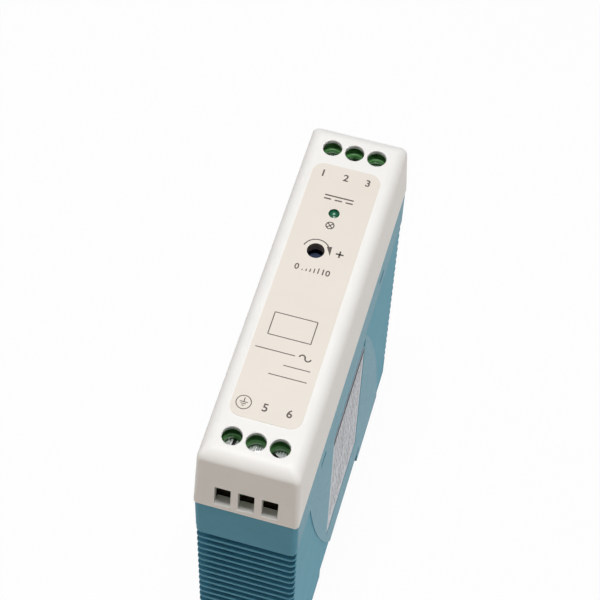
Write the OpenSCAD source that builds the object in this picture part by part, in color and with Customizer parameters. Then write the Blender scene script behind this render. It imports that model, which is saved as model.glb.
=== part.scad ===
// Slim power supply that snaps onto a 35 mm top-hat rail, shown standing on its rear.
// +Z points out of the front face, +Y towards the output end, +X to the right.
// The origin is the middle of the rear. All sizes are in millimetres.

/* [Body] */
// Width across the cover
body_w = 22.5; // [22:0.5:30]
// Height from the input end to the output end
body_h = 90; // [88:1:110]
// Depth from the rear to the front face
body_d = 100; // [98:1:125]
// How far the case stands back from the cover's edge on each side
case_inset = 0.08; // [0.02:0.02:0.2]
// Thickness of the case's side walls
side_wall = 1.5; // [1.2:0.1:1.8]
// Thickness of the case's end walls, measured behind the rib crests
end_wall = 2.8; // [2.4:0.1:3.2]
// Thickness of the case's rear floor
floor_t = 1.7; // [1.2:0.1:2.5]
// Radius of the case's upright corners
corner_r = 1.5; // [1:0.1:2]

/* [Front cover] */
// Depth of the cover, front face to lower edge
cover_depth = 18.4; // [17:0.2:22]
// How much each long side leans in over the cover's depth
cover_side_draft = 0.48; // [0.2:0.02:0.8]
// How much each end leans in over the cover's depth
cover_end_draft = 1.96; // [1:0.02:2.4]
// Radius of the cover's front edges along the long sides
cover_edge_r = 2.8; // [1.6:0.1:3]
// Radius of the cover's front edges at the two ends
cover_end_r = 3.5; // [2:0.1:3.6]
// Radius of the cover's upright corners at its lower edge
cover_low_r = 0.9; // [0.6:0.1:1.5]
// Radius of the cover's upright corners at the front, seen from the front
cover_corner_r = 1.3; // [0.9:0.1:2.4]
// Thickness of the cover's front wall
cover_face_t = 1.2; // [1.2:0.1:2]
// Thickness of the cover's side walls
cover_side_t = 1.6; // [1.3:0.1:1.9]
// Thickness of the cover's end walls
cover_end_t = 1.8; // [1.4:0.1:2]
// Width of each wire slot in the ends
slot_w = 3.45; // [2.6:0.05:4]
// Height of each wire slot
slot_h = 6.2; // [4:0.1:7]
// How far the slot's middle lies above the middle of the terminal's wire entry
slot_rise = -0.2; // [-0.4:0.1:0.4]
// Depth of the guide shelf behind each slot's sill
shelf_d = 0.6; // [0.3:0.1:0.8]
// Thickness of the guide shelf
shelf_t = 0.7; // [0.4:0.1:0.8]

/* [Snaps] */
// Distance of each snap from the middle, along the height
snap_y = 24.2; // [18:0.2:30]
// Length of the snap window in the case
snap_window_l = 3.8; // [2.6:0.1:5]
// Height of the snap window in the case
snap_window_h = 1.5; // [1.2:0.1:2]
// Height of the window's middle below the cover's lower edge
snap_drop = 6.8; // [3.6:0.1:7]
// Width of the cover's snap tongue
tongue_w = 5; // [4:0.1:7]
// Thickness of the cover's snap tongue
tongue_t = 1.2; // [0.9:0.1:1.5]
// How far the hook stands out from the tongue
hook_out = 0.8; // [0.5:0.1:1]

/* [Ribs] */
// Distance from the cover's lower edge down to the middle of the first groove
rib_start = 14.2; // [11:0.1:16]
// Distance from groove to groove
rib_pitch = 2.8; // [2.4:0.1:3.4]
// Width of each groove
rib_gap = 1.9; // [1.2:0.1:2]
// Depth of each groove
rib_depth = 1.6; // [0.8:0.1:1.8]
// Number of grooves on each end
rib_count = 22; // [12:1:22]
// Number of grooves that are pierced by air slots
vent_count = 20; // [6:1:20]
// Height of the air slot in a groove's floor
vent_h = 0.7; // [0.5:0.1:0.9]
// Length of each of the two air slots in a groove
vent_l = 6.6; // [4:0.2:7]
// Width of the web between the two air slots
vent_web = 2; // [1.5:0.1:4]

/* [Side relief] */
// How far the case's side is lowered outside the curved middle band
relief_d = 0.25; // [0.1:0.05:0.35]
// Distance from the cover's lower edge to the top of the lowered fields
relief_drop = 11.6; // [9:0.2:14]
// Radius of the band's edge towards the input end
relief_in_r = 250; // [200:5:300]
// Radius of the band's edge towards the output end
relief_out_r = 206; // [180:2:260]
// Lean of the input-side edge at half height, in degrees
relief_in_lean = 19.4; // [15:0.2:22]
// Lean of the output-side edge at half height, in degrees
relief_out_lean = 21.6; // [17:0.2:24]
// Distance from the input end to that edge at half height
relief_in_y = 19; // [16:0.5:21]
// Distance from the output end to that edge at half height
relief_out_y = 20; // [17:0.5:22]
// Height above the rear at which the two edges are placed
relief_mid_z = 42; // [36:1:48]

/* [Rating label] */
// Width of the label pocket along the height
pocket_w = 26.4; // [20:0.2:27]
// Height of the label pocket
pocket_h = 49.2; // [36:0.2:50]
// Depth of the label pocket
pocket_d = 0.3; // [0.25:0.05:0.5]
// Offset of the pocket's middle along the height
pocket_y = -1.3; // [-3:0.1:3]
// Height of the pocket's middle above the rear
pocket_z = 43.2; // [40:0.2:46]
// Gap round the label in its pocket
pocket_gap = 0.2; // [0.2:0.1:1]
// Wider gap between the label and the pocket's edge towards the front
label_front_gap = 3.4; // [0.4:0.1:5]
// Wider gap between the label and the pocket's edge towards the output end
label_far_gap = 0.2; // [0.2:0.1:4]
// Thickness of the silver label
rating_t = 0.2; // [0.08:0.02:0.2]

/* [Front label] */
// Width of the film label
label_w = 15.2; // [12:0.1:16]
// Height of the film label
label_h = 65.6; // [56:0.2:66]
// Corner radius of the film label
label_r = 2.6; // [0.8:0.1:3]
// Thickness of the film label
label_t = 0.12; // [0.08:0.02:0.2]

/* [Rail seat] */
// Height of the rail
rail_h = 35; // [34:0.5:36]
// Thickness of the rail's lips
rail_t = 1; // [0.8:0.1:1.5]
// Depth of the rail seat from the rear
seat_d = 5.5; // [5:0.1:6.5]
// How far the fixed hook reaches over the rail's edge
hook_over = 1; // [0.6:0.1:1.4]
// Play round the rail's lip
rail_play = 0.3; // [0.2:0.05:0.5]
// Depth of the clearance grooves under the rail's two edges
lip_relief = 0.2; // [0.1:0.05:0.3]
// How far the input-side block stands back from the rear plane
block_back = 1.9; // [1.5:0.1:2.2]

/* [Rail foot] */
// Width of the foot's narrow part
foot_w = 12; // [10:0.2:13]
// How far each flange stands out from the narrow part
foot_flange = 1.5; // [1.2:0.1:2]
// Height of the flange's underside above the rear
flange_z = 3.15; // [3.1:0.05:3.3]
// Play between the foot and its guide
foot_play = 0.15; // [0.1:0.01:0.2]
// How far the nose reaches over the rail's edge
nose_over = 1.2; // [0.8:0.1:1.5]
// Gap between the foot's pull end and the case's end face
foot_end_gap = 0.6; // [0.3:0.1:1.5]
// Travel of the foot when it is pulled
foot_travel = 3.5; // [2.5:0.1:3.6]
// Width of the pull slot
pull_slot_w = 5; // [3:0.2:7]
// Height of the pull slot along the travel
pull_slot_l = 1.8; // [1.2:0.1:2]
// Thickness of the web on each side of the pull slot
pull_web = 1.2; // [1:0.1:1.6]
// Length of the return spring at rest
spring_l = 14.4; // [12:0.2:17.4]
// Outer diameter of the return spring
spring_d = 2.6; // [2.2:0.1:2.8]
// Wire diameter of the return spring
spring_wire = 0.4; // [0.3:0.05:0.45]
// Number of curls in the return spring
spring_turns = 9; // [7:1:11]
// Thickness of the case's stop that the spring leans on
stop_t = 1.5; // [1.2:0.1:2]

/* [Terminals] */
// Distance from pole to pole
pitch = 5; // [4.9:0.05:6]
// Distance of the screws from each end of the body
screw_inset = 7.6; // [7.4:0.1:9]
// Diameter of the screw holes in the cover
access_d = 4.2; // [3.8:0.1:4.4]
// Diameter of the driver holes in the housings, whose lips keep the screws in
housing_hole_d = 3.9; // [3.8:0.05:4]
// Depth of the housings' tops below the front face
housing_drop = 3.5; // [2.4:0.1:3.8]
// Depth of the screw heads below the front face
screw_drop = 5; // [4.8:0.1:5.2]
// Diameter of the screw heads
head_d = 4; // [3.8:0.05:4.1]
// Radial play of the screw heads in their pockets
head_play = 0.15; // [0.1:0.01:0.15]
// Thickness of the lip over each screw head
screw_lip_t = 1.1; // [0.8:0.1:1.2]
// Thickness of the screw heads
head_t = 1.5; // [1.2:0.1:1.6]
// Width of the screw slots
drive_w = 0.6; // [0.5:0.05:0.8]
// Depth of the screw slots
drive_d = 0.8; // [0.6:0.05:0.9]
// Diameter of the screw thread
thread_d = 2.9; // [2.4:0.05:2.95]
// Radial play of the thread in the cage
thread_play = 0.03; // [0.02:0.01:0.06]
// Thickness of the ledge under the screw head
ledge_t = 0.7; // [0.6:0.05:0.9]
// Rise of the clamp cage from open to clamped
cage_rise = 2.4; // [2:0.1:2.4]
// Width of the clamp cage
cage_w = 4; // [3.6:0.05:4]
// Length of the clamp cage along the wire
cage_l = 4.4; // [4:0.1:4.4]
// Thickness of the cage's top plate
cage_top_t = 1.4; // [1.2:0.1:1.4]
// Thickness of the cage's side and bottom plates
cage_wall = 0.45; // [0.4:0.01:0.45]
// Height of the cage's window
cage_window = 4.3; // [4:0.1:4.3]
// Play between the cage and its shaft in the housing
cage_play = 0.1; // [0.08:0.01:0.12]
// Thickness of the contact bar
contact_t = 0.8; // [0.6:0.1:0.8]
// Width of the contact bar
contact_w = 2.4; // [2:0.1:2.4]
// Width of a contact's solder pin
contact_pin_w = 1; // [0.8:0.1:1.2]
// Thickness of the housing's wall towards the end of the body
housing_front_t = 1.5; // [1.2:0.1:1.5]
// Thickness of the housing behind the cage shaft
housing_back_t = 2.7; // [2.4:0.1:3]
// Width of the housing beyond the outer shafts on each side
housing_side_t = 0.5; // [0.4:0.1:0.6]
// Slot angles of the three input screws, in degrees
input_angles = [86, 28, 152];
// Slot angles of the three output screws, in degrees
output_angles = [12, 100, 48];

/* [Lamp and trimmer] */
// Place of the lamp along the height
lamp_y = 20.4; // [16:0.2:24]
// Diameter of the lamp's lens
lamp_d = 2.9; // [2.4:0.1:3]
// Radius of the lens's crown
lens_r = 2.4; // [1.6:0.1:4]
// Diameter of the lamp opening in the film label
lamp_window_d = 2.4; // [2:0.1:2.6]
// Depth of the lamp's tip below the front face
lamp_drop = 0.15; // [0.1:0.05:0.5]
// Length of the lamp's body with its dome
lamp_l = 5.1; // [4.4:0.1:5.6]
// Place of the trimmer across the width
trim_x = -1.15; // [-2:0.05:1]
// Place of the trimmer along the height
trim_y = 10.05; // [6:0.05:12]
// Diameter of the trimmer opening
trim_d = 3.8; // [3.2:0.1:4]
// Wall of the dark bush in the trimmer opening
bush_wall = 0.6; // [0.5:0.1:0.8]
// Length of the dark bush
bush_l = 2.3; // [1.8:0.1:3]
// Side of the square trimmer body
trim_side = 6.8; // [6:0.1:7]
// Depth of the trimmer body's top below the front face
trim_drop = 4.2; // [4:0.1:7]
// Diameter of the trimmer's rotor
rotor_d = 3.4; // [3:0.1:3.6]
// How far the rotor stands out of the trimmer body
rotor_out = 0.8; // [0.4:0.1:1.2]
// Depth of the rotor's seat in the trimmer body
rotor_seat = 2; // [1.5:0.1:2.4]
// Radial play of the rotor in its seat
rotor_play = 0.05; // [0.03:0.01:0.08]

/* [Boards] */
// Thickness of both circuit boards
board_t = 1.6; // [1.2:0.1:1.6]
// Height of the front board's face above the cover's lower edge
front_board_up = 0.8; // [0.6:0.1:0.9]
// Gap between the front board's ends and the case
board_gap = 0.3; // [0.2:0.05:0.4]
// Distance of the main board's part side from the left inner wall
main_board_in = 3.67; // [3.4:0.01:4]
// Height of the main board's lower edge above the case's floor
board_rise = 1.4; // [0.6:0.1:1.6]
// Gap between the main board and the front board
board_step = 2.4; // [2:0.1:3]
// Thickness of the insulation sheet
sheet_t = 0.3; // [0.2:0.05:0.4]
// Diameter of the part leads
lead_d = 0.7; // [0.5:0.05:0.8]
// Play of a lead in its hole
lead_play = 0.1; // [0.08:0.01:0.15]
// Length of a lead past the solder side
lead_tail = 0.7; // [0.5:0.1:0.9]
// Height of the solder round a lead
solder_h = 0.5; // [0.3:0.05:0.5]
// How far the solder spreads round a lead on the board
solder_out = 0.22; // [0.16:0.01:0.24]
// Diameter of the angled link pins
link_pin = 0.64; // [0.5:0.02:0.7]
// Place of the mains link's middle along the height
mains_link_y = -25.5; // [-27:0.5:-22]
// Place of the output link's middle along the height
output_link_y = 25.5; // [23:0.5:27]
// Distance from pin to pin of the mains link
mains_link_pitch = 5.08; // [3.96:0.01:5.08]
// Distance from pin to pin of the output link
output_link_pitch = 2.54; // [2:0.01:2.54]

/* [Parts inside] */
// Diameter of the fuse
fuse_d = 8.4; // [7.4:0.1:8.6]
// Height of the fuse
fuse_h = 7.6; // [6:0.1:9]
// Diameter of the varistor's disc
varistor_d = 10; // [8:0.2:10.4]
// Diameter of the thermistor's disc
thermistor_d = 9; // [8:0.2:9.4]
// Thickness of the two discs
disc_t = 4; // [3:0.1:4.4]
// Diameter of the safety capacitor's disc
safety_d = 8; // [6.4:0.2:8.4]
// Length of the suppression capacitor
x_cap_l = 13; // [12:0.2:14]
// Thickness of the suppression capacitor
x_cap_t = 6; // [5:0.2:7]
// Height of the suppression capacitor
x_cap_h = 12; // [9:0.2:13]
// Outer diameter of the choke core
choke_d = 16; // [15:0.2:16.4]
// Inner diameter of the choke core
choke_bore = 8; // [7.4:0.2:8.4]
// Height of the choke core
choke_h = 7; // [6:0.2:8]
// Build of the choke's windings on the core
choke_build = 1; // [0.8:0.1:1.2]
// Length of the bridge rectifier
bridge_l = 8.4; // [7.6:0.1:9]
// Width of the bridge rectifier
bridge_w = 6.4; // [6:0.1:6.6]
// Height of the bridge rectifier
bridge_h = 3.2; // [2.6:0.1:3.6]
// Diameter of the bulk capacitor
bulk_d = 12.5; // [11:0.5:13]
// Length of the bulk capacitor
bulk_l = 25; // [20:0.5:26]
// Outside of the transformer core across and along the winding
core_size = 20.4; // [19.6:0.2:20.6]
// Thickness of the transformer core
core_t = 6; // [5.6:0.1:6.4]
// Width of the core's outer legs and backs
core_leg = 3.2; // [3:0.1:3.4]
// Wall of the bobbin
bobbin_wall = 0.7; // [0.6:0.05:0.8]
// Build of the winding on the bobbin
winding_build = 2.3; // [1.8:0.1:2.4]
// Length of each heatsink plate
sink_l = 22; // [21:0.5:23]
// Height of each heatsink plate
sink_h = 13; // [12.6:0.2:14]
// Thickness of each heatsink plate
sink_t = 1.5; // [1.2:0.1:1.6]
// Width of the two power transistors' bodies
power_w = 10; // [9.4:0.1:10.2]
// Length of their moulded body
power_body_l = 9; // [8.6:0.1:9.2]
// Thickness of their moulded body
power_t = 4.4; // [4:0.1:4.6]
// Length of their metal tab past the body
power_tab_l = 6.4; // [6:0.1:6.6]
// Thickness of their metal tab
power_tab_t = 1.3; // [1:0.1:1.4]
// Diameter of the heatsink screws
sink_screw_d = 3; // [2.5:0.1:3]
// Diameter of each output capacitor
out_cap_d = 8; // [6.4:0.2:8.4]
// Height of each output capacitor
out_cap_h = 12; // [10:0.5:13]
// Diameter of the inductor with its winding
coil_d = 8; // [7:0.2:8.4]
// Height of the inductor
coil_h = 11; // [9:0.5:13]
// Thickness of the inductor's flanges
coil_rim = 1.2; // [0.8:0.1:1.6]
// Diameter of the auxiliary capacitor
aux_d = 5; // [4:0.1:5.4]
// Height of the auxiliary capacitor
aux_h = 11; // [8:0.5:13]
// Width of the chips' bodies
chip_w = 6.2; // [5.6:0.1:6.6]
// Height of the chips' bodies
chip_h = 3.2; // [2.6:0.1:3.6]
// Length of the controller chip
chip_l = 9.6; // [9.2:0.1:10]
// Length of the optocoupler
opto_l = 4.6; // [4.2:0.1:5]
// Length of the snubber resistor
resistor_l = 9; // [7:0.2:10]
// Diameter of the snubber resistor's ends
resistor_d = 3.4; // [2.4:0.1:4]
// Diameter of the two small transistors
small_d = 4.8; // [4.4:0.1:5]
// Height of the two small transistors
small_h = 4.8; // [4:0.1:5.4]
// Height at which the small transistors stand on their leads
small_up = 2; // [1:0.1:3]

/* [Hidden] */
$fn = 48;

// Small overrun so that cuts pass clean through
eps = 0.5;
// Hair gap between faces of pieces that only just meet
hair = 0.02;
hw = body_w / 2;
hh = body_h / 2;
case_hw = hw - case_inset;
cover_z = body_d - cover_depth;
face_z = body_d - label_t;
inner_hw = case_hw - side_wall;
inner_hh = hh - end_wall;
floor_z = seat_d + floor_t;
relief_z = cover_z - relief_drop;
snap_z = cover_z - snap_drop;
tongue_tip = snap_z - snap_window_h / 2 - 0.6;

// Rail seat and foot
rail_edge = rail_h / 2;
seat_top = rail_edge - hook_over;
seat_low = -rail_edge - rail_play;
lip_z = seat_d - rail_t - rail_play;
foot_top = lip_z;
foot_hw = foot_w / 2;
flange_hw = foot_hw + foot_flange;
foot_end = -hh + foot_end_gap;
nose_tip = -rail_edge + nose_over;
pocket_near = foot_end + pull_slot_l + 2 * pull_web;
stop_near = pocket_near + 0.05;
spring_near = stop_near + stop_t;
pocket_far = spring_near + spring_l;
foot_floor = 0.8;
spring_z = foot_floor + (foot_top - foot_floor) / 2;
spring_hw = spring_d / 2 + 0.3;

// Terminals
screw_y = hh - screw_inset;
board_face = cover_z + front_board_up;
housing_top = body_d - housing_drop;
head_top = body_d - screw_drop;
seat_z = head_top - head_t;
shaft_top = seat_z - ledge_t;
cage_top = shaft_top - cage_play - cage_rise;
window_top = cage_top - cage_top_t;
window_low = window_top - cage_window;
cage_low = window_low - cage_wall;
contact_top = window_top - cage_play;
contact_low = contact_top - contact_t;
shaft_hw = cage_w / 2 + cage_play;
shaft_hl = cage_l / 2 + cage_play;
housing_hw = pitch + shaft_hw + housing_side_t;
housing_out = screw_y + shaft_hl + housing_front_t;
housing_in = screw_y - shaft_hl - housing_back_t;
pin_y = housing_in + housing_back_t / 2 - 0.3;
pin_hw = contact_pin_w / 2;
pin_tail = board_face - board_t - 1;
slot_mid = (window_low + contact_low) / 2 + slot_rise;
sill_z = slot_mid - slot_h / 2;
post_w = 0.9;
post_l = 2;
post_x = housing_hw + 0.35 + post_w / 2;
post_y = hh - cover_end_draft - cover_end_t - 0.8;
sill_inner = hh - cover_end_t - cover_end_draft * (sill_z - cover_z) / cover_depth;
poles = [-1, 0, 1];

// Boards
board_low = board_face - board_t;
front_board_hw = inner_hw - 0.35;
front_board_hh = inner_hh - board_gap;
bx = -inner_hw + main_board_in;
solder_x = bx - board_t;
main_top = board_low - board_step;
main_low = floor_z + board_rise;
main_hh = inner_hh - 0.15;
guide_t = 1;
guide_l = 1.5;
guide_play = 0.05;
lead_r = lead_d / 2;
// A bent lead's level run is a little thicker than its upright run
knee_r = lead_r + 0.08;
link_z = main_top - 3.6;
link_out = 1.3;
link_body = 2.5;
mains_pins = [for (i = [-1, 0, 1]) mains_link_y + i * mains_link_pitch];
output_pins = [for (i = [-2:2]) output_link_y + i * output_link_pitch];

// Lamp and trimmer
lamp_tip = body_d - lamp_drop;
lamp_low = lamp_tip - lamp_l;
lamp_pitch = 2.54;
lamp_lead_r = 0.25;
trim_top = body_d - trim_drop;
bush_d = trim_d + 2 * bush_wall;

// Places of the parts on the main board, as [y, z]
fuse_at = [-35.5, 64];
varistor_at = [-25.5, 65];
thermistor_at = [-17, 65];
x_cap_at = [-33, 51.5];
choke_at = [-30.5, 35];
bridge_at = [-34, 16.5];
bulk_at = [-14.5, 11];
transformer_at = [4.5, 27];
primary_at = [-20, 44];
chip_at = [-9.5, 60];
aux_at = [-1, 62];
snubber_at = [9.5, 44.5];
opto_at = [7, 62.5];
safety_at = [9, 53.5];
secondary_at = [18, 44];
out_caps_at = [[20.5, 35], [30, 35], [30, 25]];
coil_at = [20.5, 22];
shunt_at = [16, 62];
status_at = [36, 60];

// Lead places, as [y, z], shared by the parts and by the board's holes
function pair(at, half, upright) = [for (s = [-1, 1]) at + (upright ? [0, s * half] : [s * half, 0])];
fuse_leads = pair(fuse_at, 2.54, false);
varistor_leads = pair(varistor_at, 3, true);
thermistor_leads = pair(thermistor_at, 2.5, true);
x_cap_leads = pair(x_cap_at, 5, false);
choke_leads = [for (a = [-1, 1]) for (b = [-1, 1]) choke_at + [a * 6.6, b * 8.9]];
bridge_leads = [for (a = [-1, 1]) for (b = [-1, 1]) bridge_at + [a * 2.54, b * 3.81]];
bulk_leads = pair(bulk_at + [0, bulk_l + 2], 2.5, false);
chip_leads = [for (a = [-1, 1]) for (b = [-1.5:1:1.5]) chip_at + [a * 3.81, b * 2.54]];
opto_leads = [for (a = [-1, 1]) for (b = [-0.5, 0.5]) opto_at + [a * 3.81, b * 2.54]];
aux_leads = pair(aux_at, 1, true);
snubber_leads = pair(snubber_at, 6, false);
safety_leads = pair(safety_at, 2.5, false);
out_cap_leads = [for (c = out_caps_at) for (p = pair(c, 1.75, true)) p];
coil_leads = pair(coil_at, 2.5, true);
shunt_leads = [for (i = [-1, 0, 1]) shunt_at + [0, i * 1.27]];
status_leads = [for (i = [-1, 0, 1]) status_at + [0, i * 1.27]];
transformer_row = core_size / 2 - core_leg - 0.9;
transformer_leads = [for (a = [-1.5:1:1.5]) for (b = [-1, 1])
    transformer_at + [a * 3.6, b * transformer_row]];
// The three leads of a power transistor step out and down one after the other
function power_leads(at) = [for (i = [0:2]) at + [0.6 + (2 - i) * 1.3, sink_t + 1.7]];
power_rise = [2.7, 5.24, 7.78];
all_leads = concat(fuse_leads, varistor_leads, thermistor_leads, x_cap_leads, choke_leads, bridge_leads,
    bulk_leads, chip_leads, opto_leads, aux_leads, snubber_leads, safety_leads, out_cap_leads, coil_leads,
    shunt_leads, status_leads, transformer_leads, power_leads(primary_at), power_leads(secondary_at));

// Flat shapes

module round_rect(w, h, r) {
    square([w - 2 * r, h], center = true);
    square([w, h - 2 * r], center = true);
    for (x = [-1, 1])
        for (y = [-1, 1])
            translate([x * (w / 2 - r), y * (h / 2 - r)]) circle(r);
}

// Solids between two corners
module block(lo, hi) {
    translate(lo) cube(hi - lo);
}

module along_y(l) {
    translate([0, l / 2, 0]) rotate([90, 0, 0]) linear_extrude(l) children();
}

module along_x(l) {
    translate([-l / 2, 0, 0]) rotate([90, 0, 90]) linear_extrude(l) children();
}

// Lead along X from past the solder side up to a height over the board, with its solder
module lead(at, up) {
    translate([solder_x - lead_tail, at[0], at[1]])
        rotate([0, 90, 0])
            cylinder(r = lead_r, h = board_t + lead_tail + up, $fn = 24);
    translate([solder_x - solder_h, at[0], at[1]])
        rotate([0, 90, 0])
            cylinder(r1 = lead_r + 0.05, r2 = lead_r + solder_out, h = solder_h, $fn = 24);
}

// Places a child drawn with +Z as height onto the main board
module on_board(at, up = 0) {
    translate([bx + up, at[0], at[1]]) rotate([0, 90, 0]) children();
}

// Case

module groove_cuts() {
    for (i = [0:rib_count - 1])
        for (s = [-1, 1])
            translate([0, s * hh, cover_z - rib_start - i * rib_pitch])
                cube([body_w + 2 * eps, 2 * rib_depth, rib_gap], center = true);
}

module vent_cuts() {
    for (i = [0:vent_count - 1])
        for (s = [-1, 1])
            for (x = [-1, 1])
                translate([x * (vent_web + vent_l) / 2, s * (hh - end_wall / 2), 0])
                    translate([0, 0, cover_z - rib_start - i * rib_pitch])
                        cube([vent_l, end_wall + 2 * eps, vent_h], center = true);
}

// Everything below the relief line except the curved band, as seen from the right
module relief_shape() {
    in_mid = [-hh + relief_in_y, relief_mid_z];
    out_mid = [hh - relief_out_y, relief_mid_z];
    in_c = in_mid + relief_in_r * [cos(relief_in_lean), sin(relief_in_lean)];
    out_c = out_mid - relief_out_r * [cos(relief_out_lean), sin(relief_out_lean)];
    difference() {
        translate([-body_h, -eps]) square([2 * body_h, relief_z + eps]);
        intersection() {
            translate(in_c) circle(relief_in_r, $fn = 180);
            translate(out_c) circle(relief_out_r, $fn = 180);
        }
    }
}

module relief_cuts() {
    for (s = [-1, 1])
        translate([s * (case_hw + eps / 2 - relief_d / 2), 0, 0])
            along_x(relief_d + eps) relief_shape();
}

module rail_cuts() {
    block([-hw - eps, seat_low, -eps], [hw + eps, seat_top, seat_d]);
    block([-hw - eps, seat_top - eps, lip_z], [hw + eps, rail_edge + rail_play, seat_d + lip_relief]);
    // Clearance grooves, so that the rail rests on the flat between its two edges
    block([-hw - eps, seat_top - rail_play, lip_z], [hw + eps, seat_top, seat_d + lip_relief]);
    block([-hw - eps, seat_low, lip_z], [hw + eps, nose_tip + rail_play, seat_d + lip_relief]);
    block([-hw - eps, -hh - eps, -eps], [hw + eps, seat_low + eps, block_back]);
}

module foot_cuts() {
    block([-foot_hw - foot_play, -hh - eps, -eps],
        [foot_hw + foot_play, seat_low + eps, foot_top + foot_play]);
    block([-flange_hw - foot_play, -hh - eps, flange_z - foot_play],
        [flange_hw + foot_play, seat_low + eps, foot_top + foot_play]);
}

module case() {
    color([0.3, 0.5, 0.56]) {
        difference() {
            linear_extrude(cover_z) round_rect(2 * case_hw, body_h, corner_r);
            block([-inner_hw, -inner_hh, floor_z], [inner_hw, inner_hh, cover_z + eps]);
            block([-inner_hw, rail_edge + rail_play + floor_t, floor_t], [inner_hw, inner_hh, floor_z + eps]);
            groove_cuts();
            vent_cuts();
            relief_cuts();
            rail_cuts();
            foot_cuts();
            translate([case_hw, pocket_y, pocket_z])
                cube([2 * pocket_d, pocket_w, pocket_h], center = true);
            for (x = [-1, 1])
                for (y = [-1, 1])
                    translate([x * (case_hw - side_wall / 2), y * snap_y, snap_z])
                        cube([side_wall + 2 * eps, snap_window_l, snap_window_h], center = true);
        }
        // Stop for the foot spring
        block([-spring_hw + 0.3, stop_near, foot_floor + 0.3],
            [spring_hw - 0.3, stop_near + stop_t, foot_top + foot_play + eps]);
        for (s = [-1, 1]) {
            // Ledge under the front board, clear of the main board's way in
            mirror([0, s > 0 ? 0 : 1, 0])
                block([bx + guide_play + guide_t / 2, inner_hh - 2, board_low - 2],
                    [inner_hw + hair, inner_hh + hair, board_low]);
            // Guides for the main board's edges, with a stop below
            mirror([0, s > 0 ? 0 : 1, 0]) {
                for (x = [solder_x - guide_play - guide_t, bx + guide_play])
                    block([x, inner_hh - guide_l, floor_z - hair], [x + guide_t, inner_hh + hair, board_low]);
                block([solder_x - guide_play - hair, inner_hh - guide_l, floor_z - hair],
                    [bx + guide_play + hair, inner_hh + hair, main_low]);
            }
        }
    }
}

// Front cover

module cover_outer() {
    // Walls lean in up to the round, whose height lies between its two radii
    drop = (cover_edge_r + cover_end_r) / 2;
    share = 1 - drop / (cover_depth - label_t);
    mid_x = hw - cover_side_draft * share;
    mid_y = hh - cover_end_draft * share;
    lip = 0.3;
    steps = 8;
    hull()
        for (x = [-1, 1])
            for (y = [-1, 1]) {
                translate([x * (hw - cover_low_r), y * (hh - cover_low_r), cover_z])
                    cylinder(r = cover_low_r, h = lip, $fn = 48);
                // Each front corner steps in along both rounds at once, in rings
                for (i = [0:steps - 1])
                    translate([x * (mid_x - cover_corner_r - cover_edge_r * (1 - cos(90 * i / steps))),
                        y * (mid_y - cover_corner_r - cover_end_r * (1 - cos(90 * i / steps))),
                        face_z - drop + drop * sin(90 * i / steps)])
                        cylinder(r = cover_corner_r, h = hair, $fn = 48);
                translate([x * (mid_x - cover_corner_r - cover_edge_r),
                    y * (mid_y - cover_corner_r - cover_end_r), face_z - hair])
                    cylinder(r = cover_corner_r, h = hair, $fn = 48);
            }
}

module cover_inner() {
    top_x = hw - cover_side_draft - cover_side_t;
    top_y = hh - cover_end_draft - cover_end_t;
    low_x = hw - cover_side_t;
    low_y = hh - cover_end_t;
    z1 = face_z - cover_face_t;
    intersection() {
        along_y(2 * body_h) polygon([[-low_x, cover_z], [low_x, cover_z], [top_x, z1], [-top_x, z1]]);
        along_x(2 * body_w) polygon([[-low_y, cover_z], [low_y, cover_z], [top_y, z1], [-top_y, z1]]);
    }
    block([-low_x, -low_y, cover_z - eps], [low_x, low_y, cover_z + hair]);
}

module snap_tongue() {
    // Drawn on the right side, hook outwards
    out = inner_hw - 0.1;
    hook_low = snap_z - snap_window_h / 2 + 0.1;
    hook_high = snap_z + snap_window_h / 2 - 0.25;
    block([out - tongue_t, -tongue_w / 2, tongue_tip], [out, tongue_w / 2, cover_z + 4]);
    // Foot of the tongue on the cover's wall
    block([out - tongue_t, -tongue_w / 2, cover_z + 1], [hw - cover_side_t / 2, tongue_w / 2, cover_z + 4]);
    along_y(snap_window_l - 0.4)
        polygon([[out - 0.3, hook_low], [out + hook_out, hook_high - 0.3],
            [out + hook_out, hook_high], [out - 0.3, hook_high]]);
}

module front_cover() {
    color([0.96, 0.96, 0.95]) {
        difference() {
            cover_outer();
            cover_inner();
            for (s = [-1, 1])
                for (k = poles) {
                    translate([k * pitch, s * screw_y, face_z - cover_face_t - eps])
                        cylinder(d = access_d, h = cover_face_t + 2 * eps);
                    translate([k * pitch, s * (hh - cover_end_t), slot_mid])
                        cube([slot_w, 2 * cover_end_t + 2 * eps, slot_h], center = true);
                }
            translate([0, lamp_y, face_z - cover_face_t - eps])
                cylinder(d = lamp_d + 0.2, h = cover_face_t + 2 * eps);
            translate([trim_x, trim_y, face_z - cover_face_t - eps])
                cylinder(d = bush_d + 2 * hair, h = cover_face_t + 2 * eps);
        }
        for (y = [-1, 1])
            translate([0, y * snap_y, 0]) {
                snap_tongue();
                mirror([1, 0, 0]) snap_tongue();
            }
        // Shelf behind the sills, which guides a wire end into its terminal
        for (s = [-1, 1])
            mirror([0, s > 0 ? 0 : 1, 0])
                translate([0, sill_inner - shelf_d, sill_z - shelf_t])
                    translate([-pitch - slot_w / 2, 0, 0])
                        cube([2 * pitch + slot_w, shelf_d + cover_end_t / 2, shelf_t]);
        // Posts that hold the front board down
        for (x = [-1, 1])
            for (y = [-1, 1])
                translate([x * post_x - post_w / 2, y * post_y - post_l / 2, board_face + hair])
                    cube([post_w, post_l, face_z - cover_face_t / 2 - board_face - hair]);
    }
}

module front_label() {
    color([0.93, 0.9, 0.86])
        translate([0, 0, face_z])
            linear_extrude(label_t)
                difference() {
                    round_rect(label_w, label_h, label_r);
                    translate([0, lamp_y]) circle(d = lamp_window_d);
                    translate([trim_x, trim_y]) circle(d = trim_d);
                }
}

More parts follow.
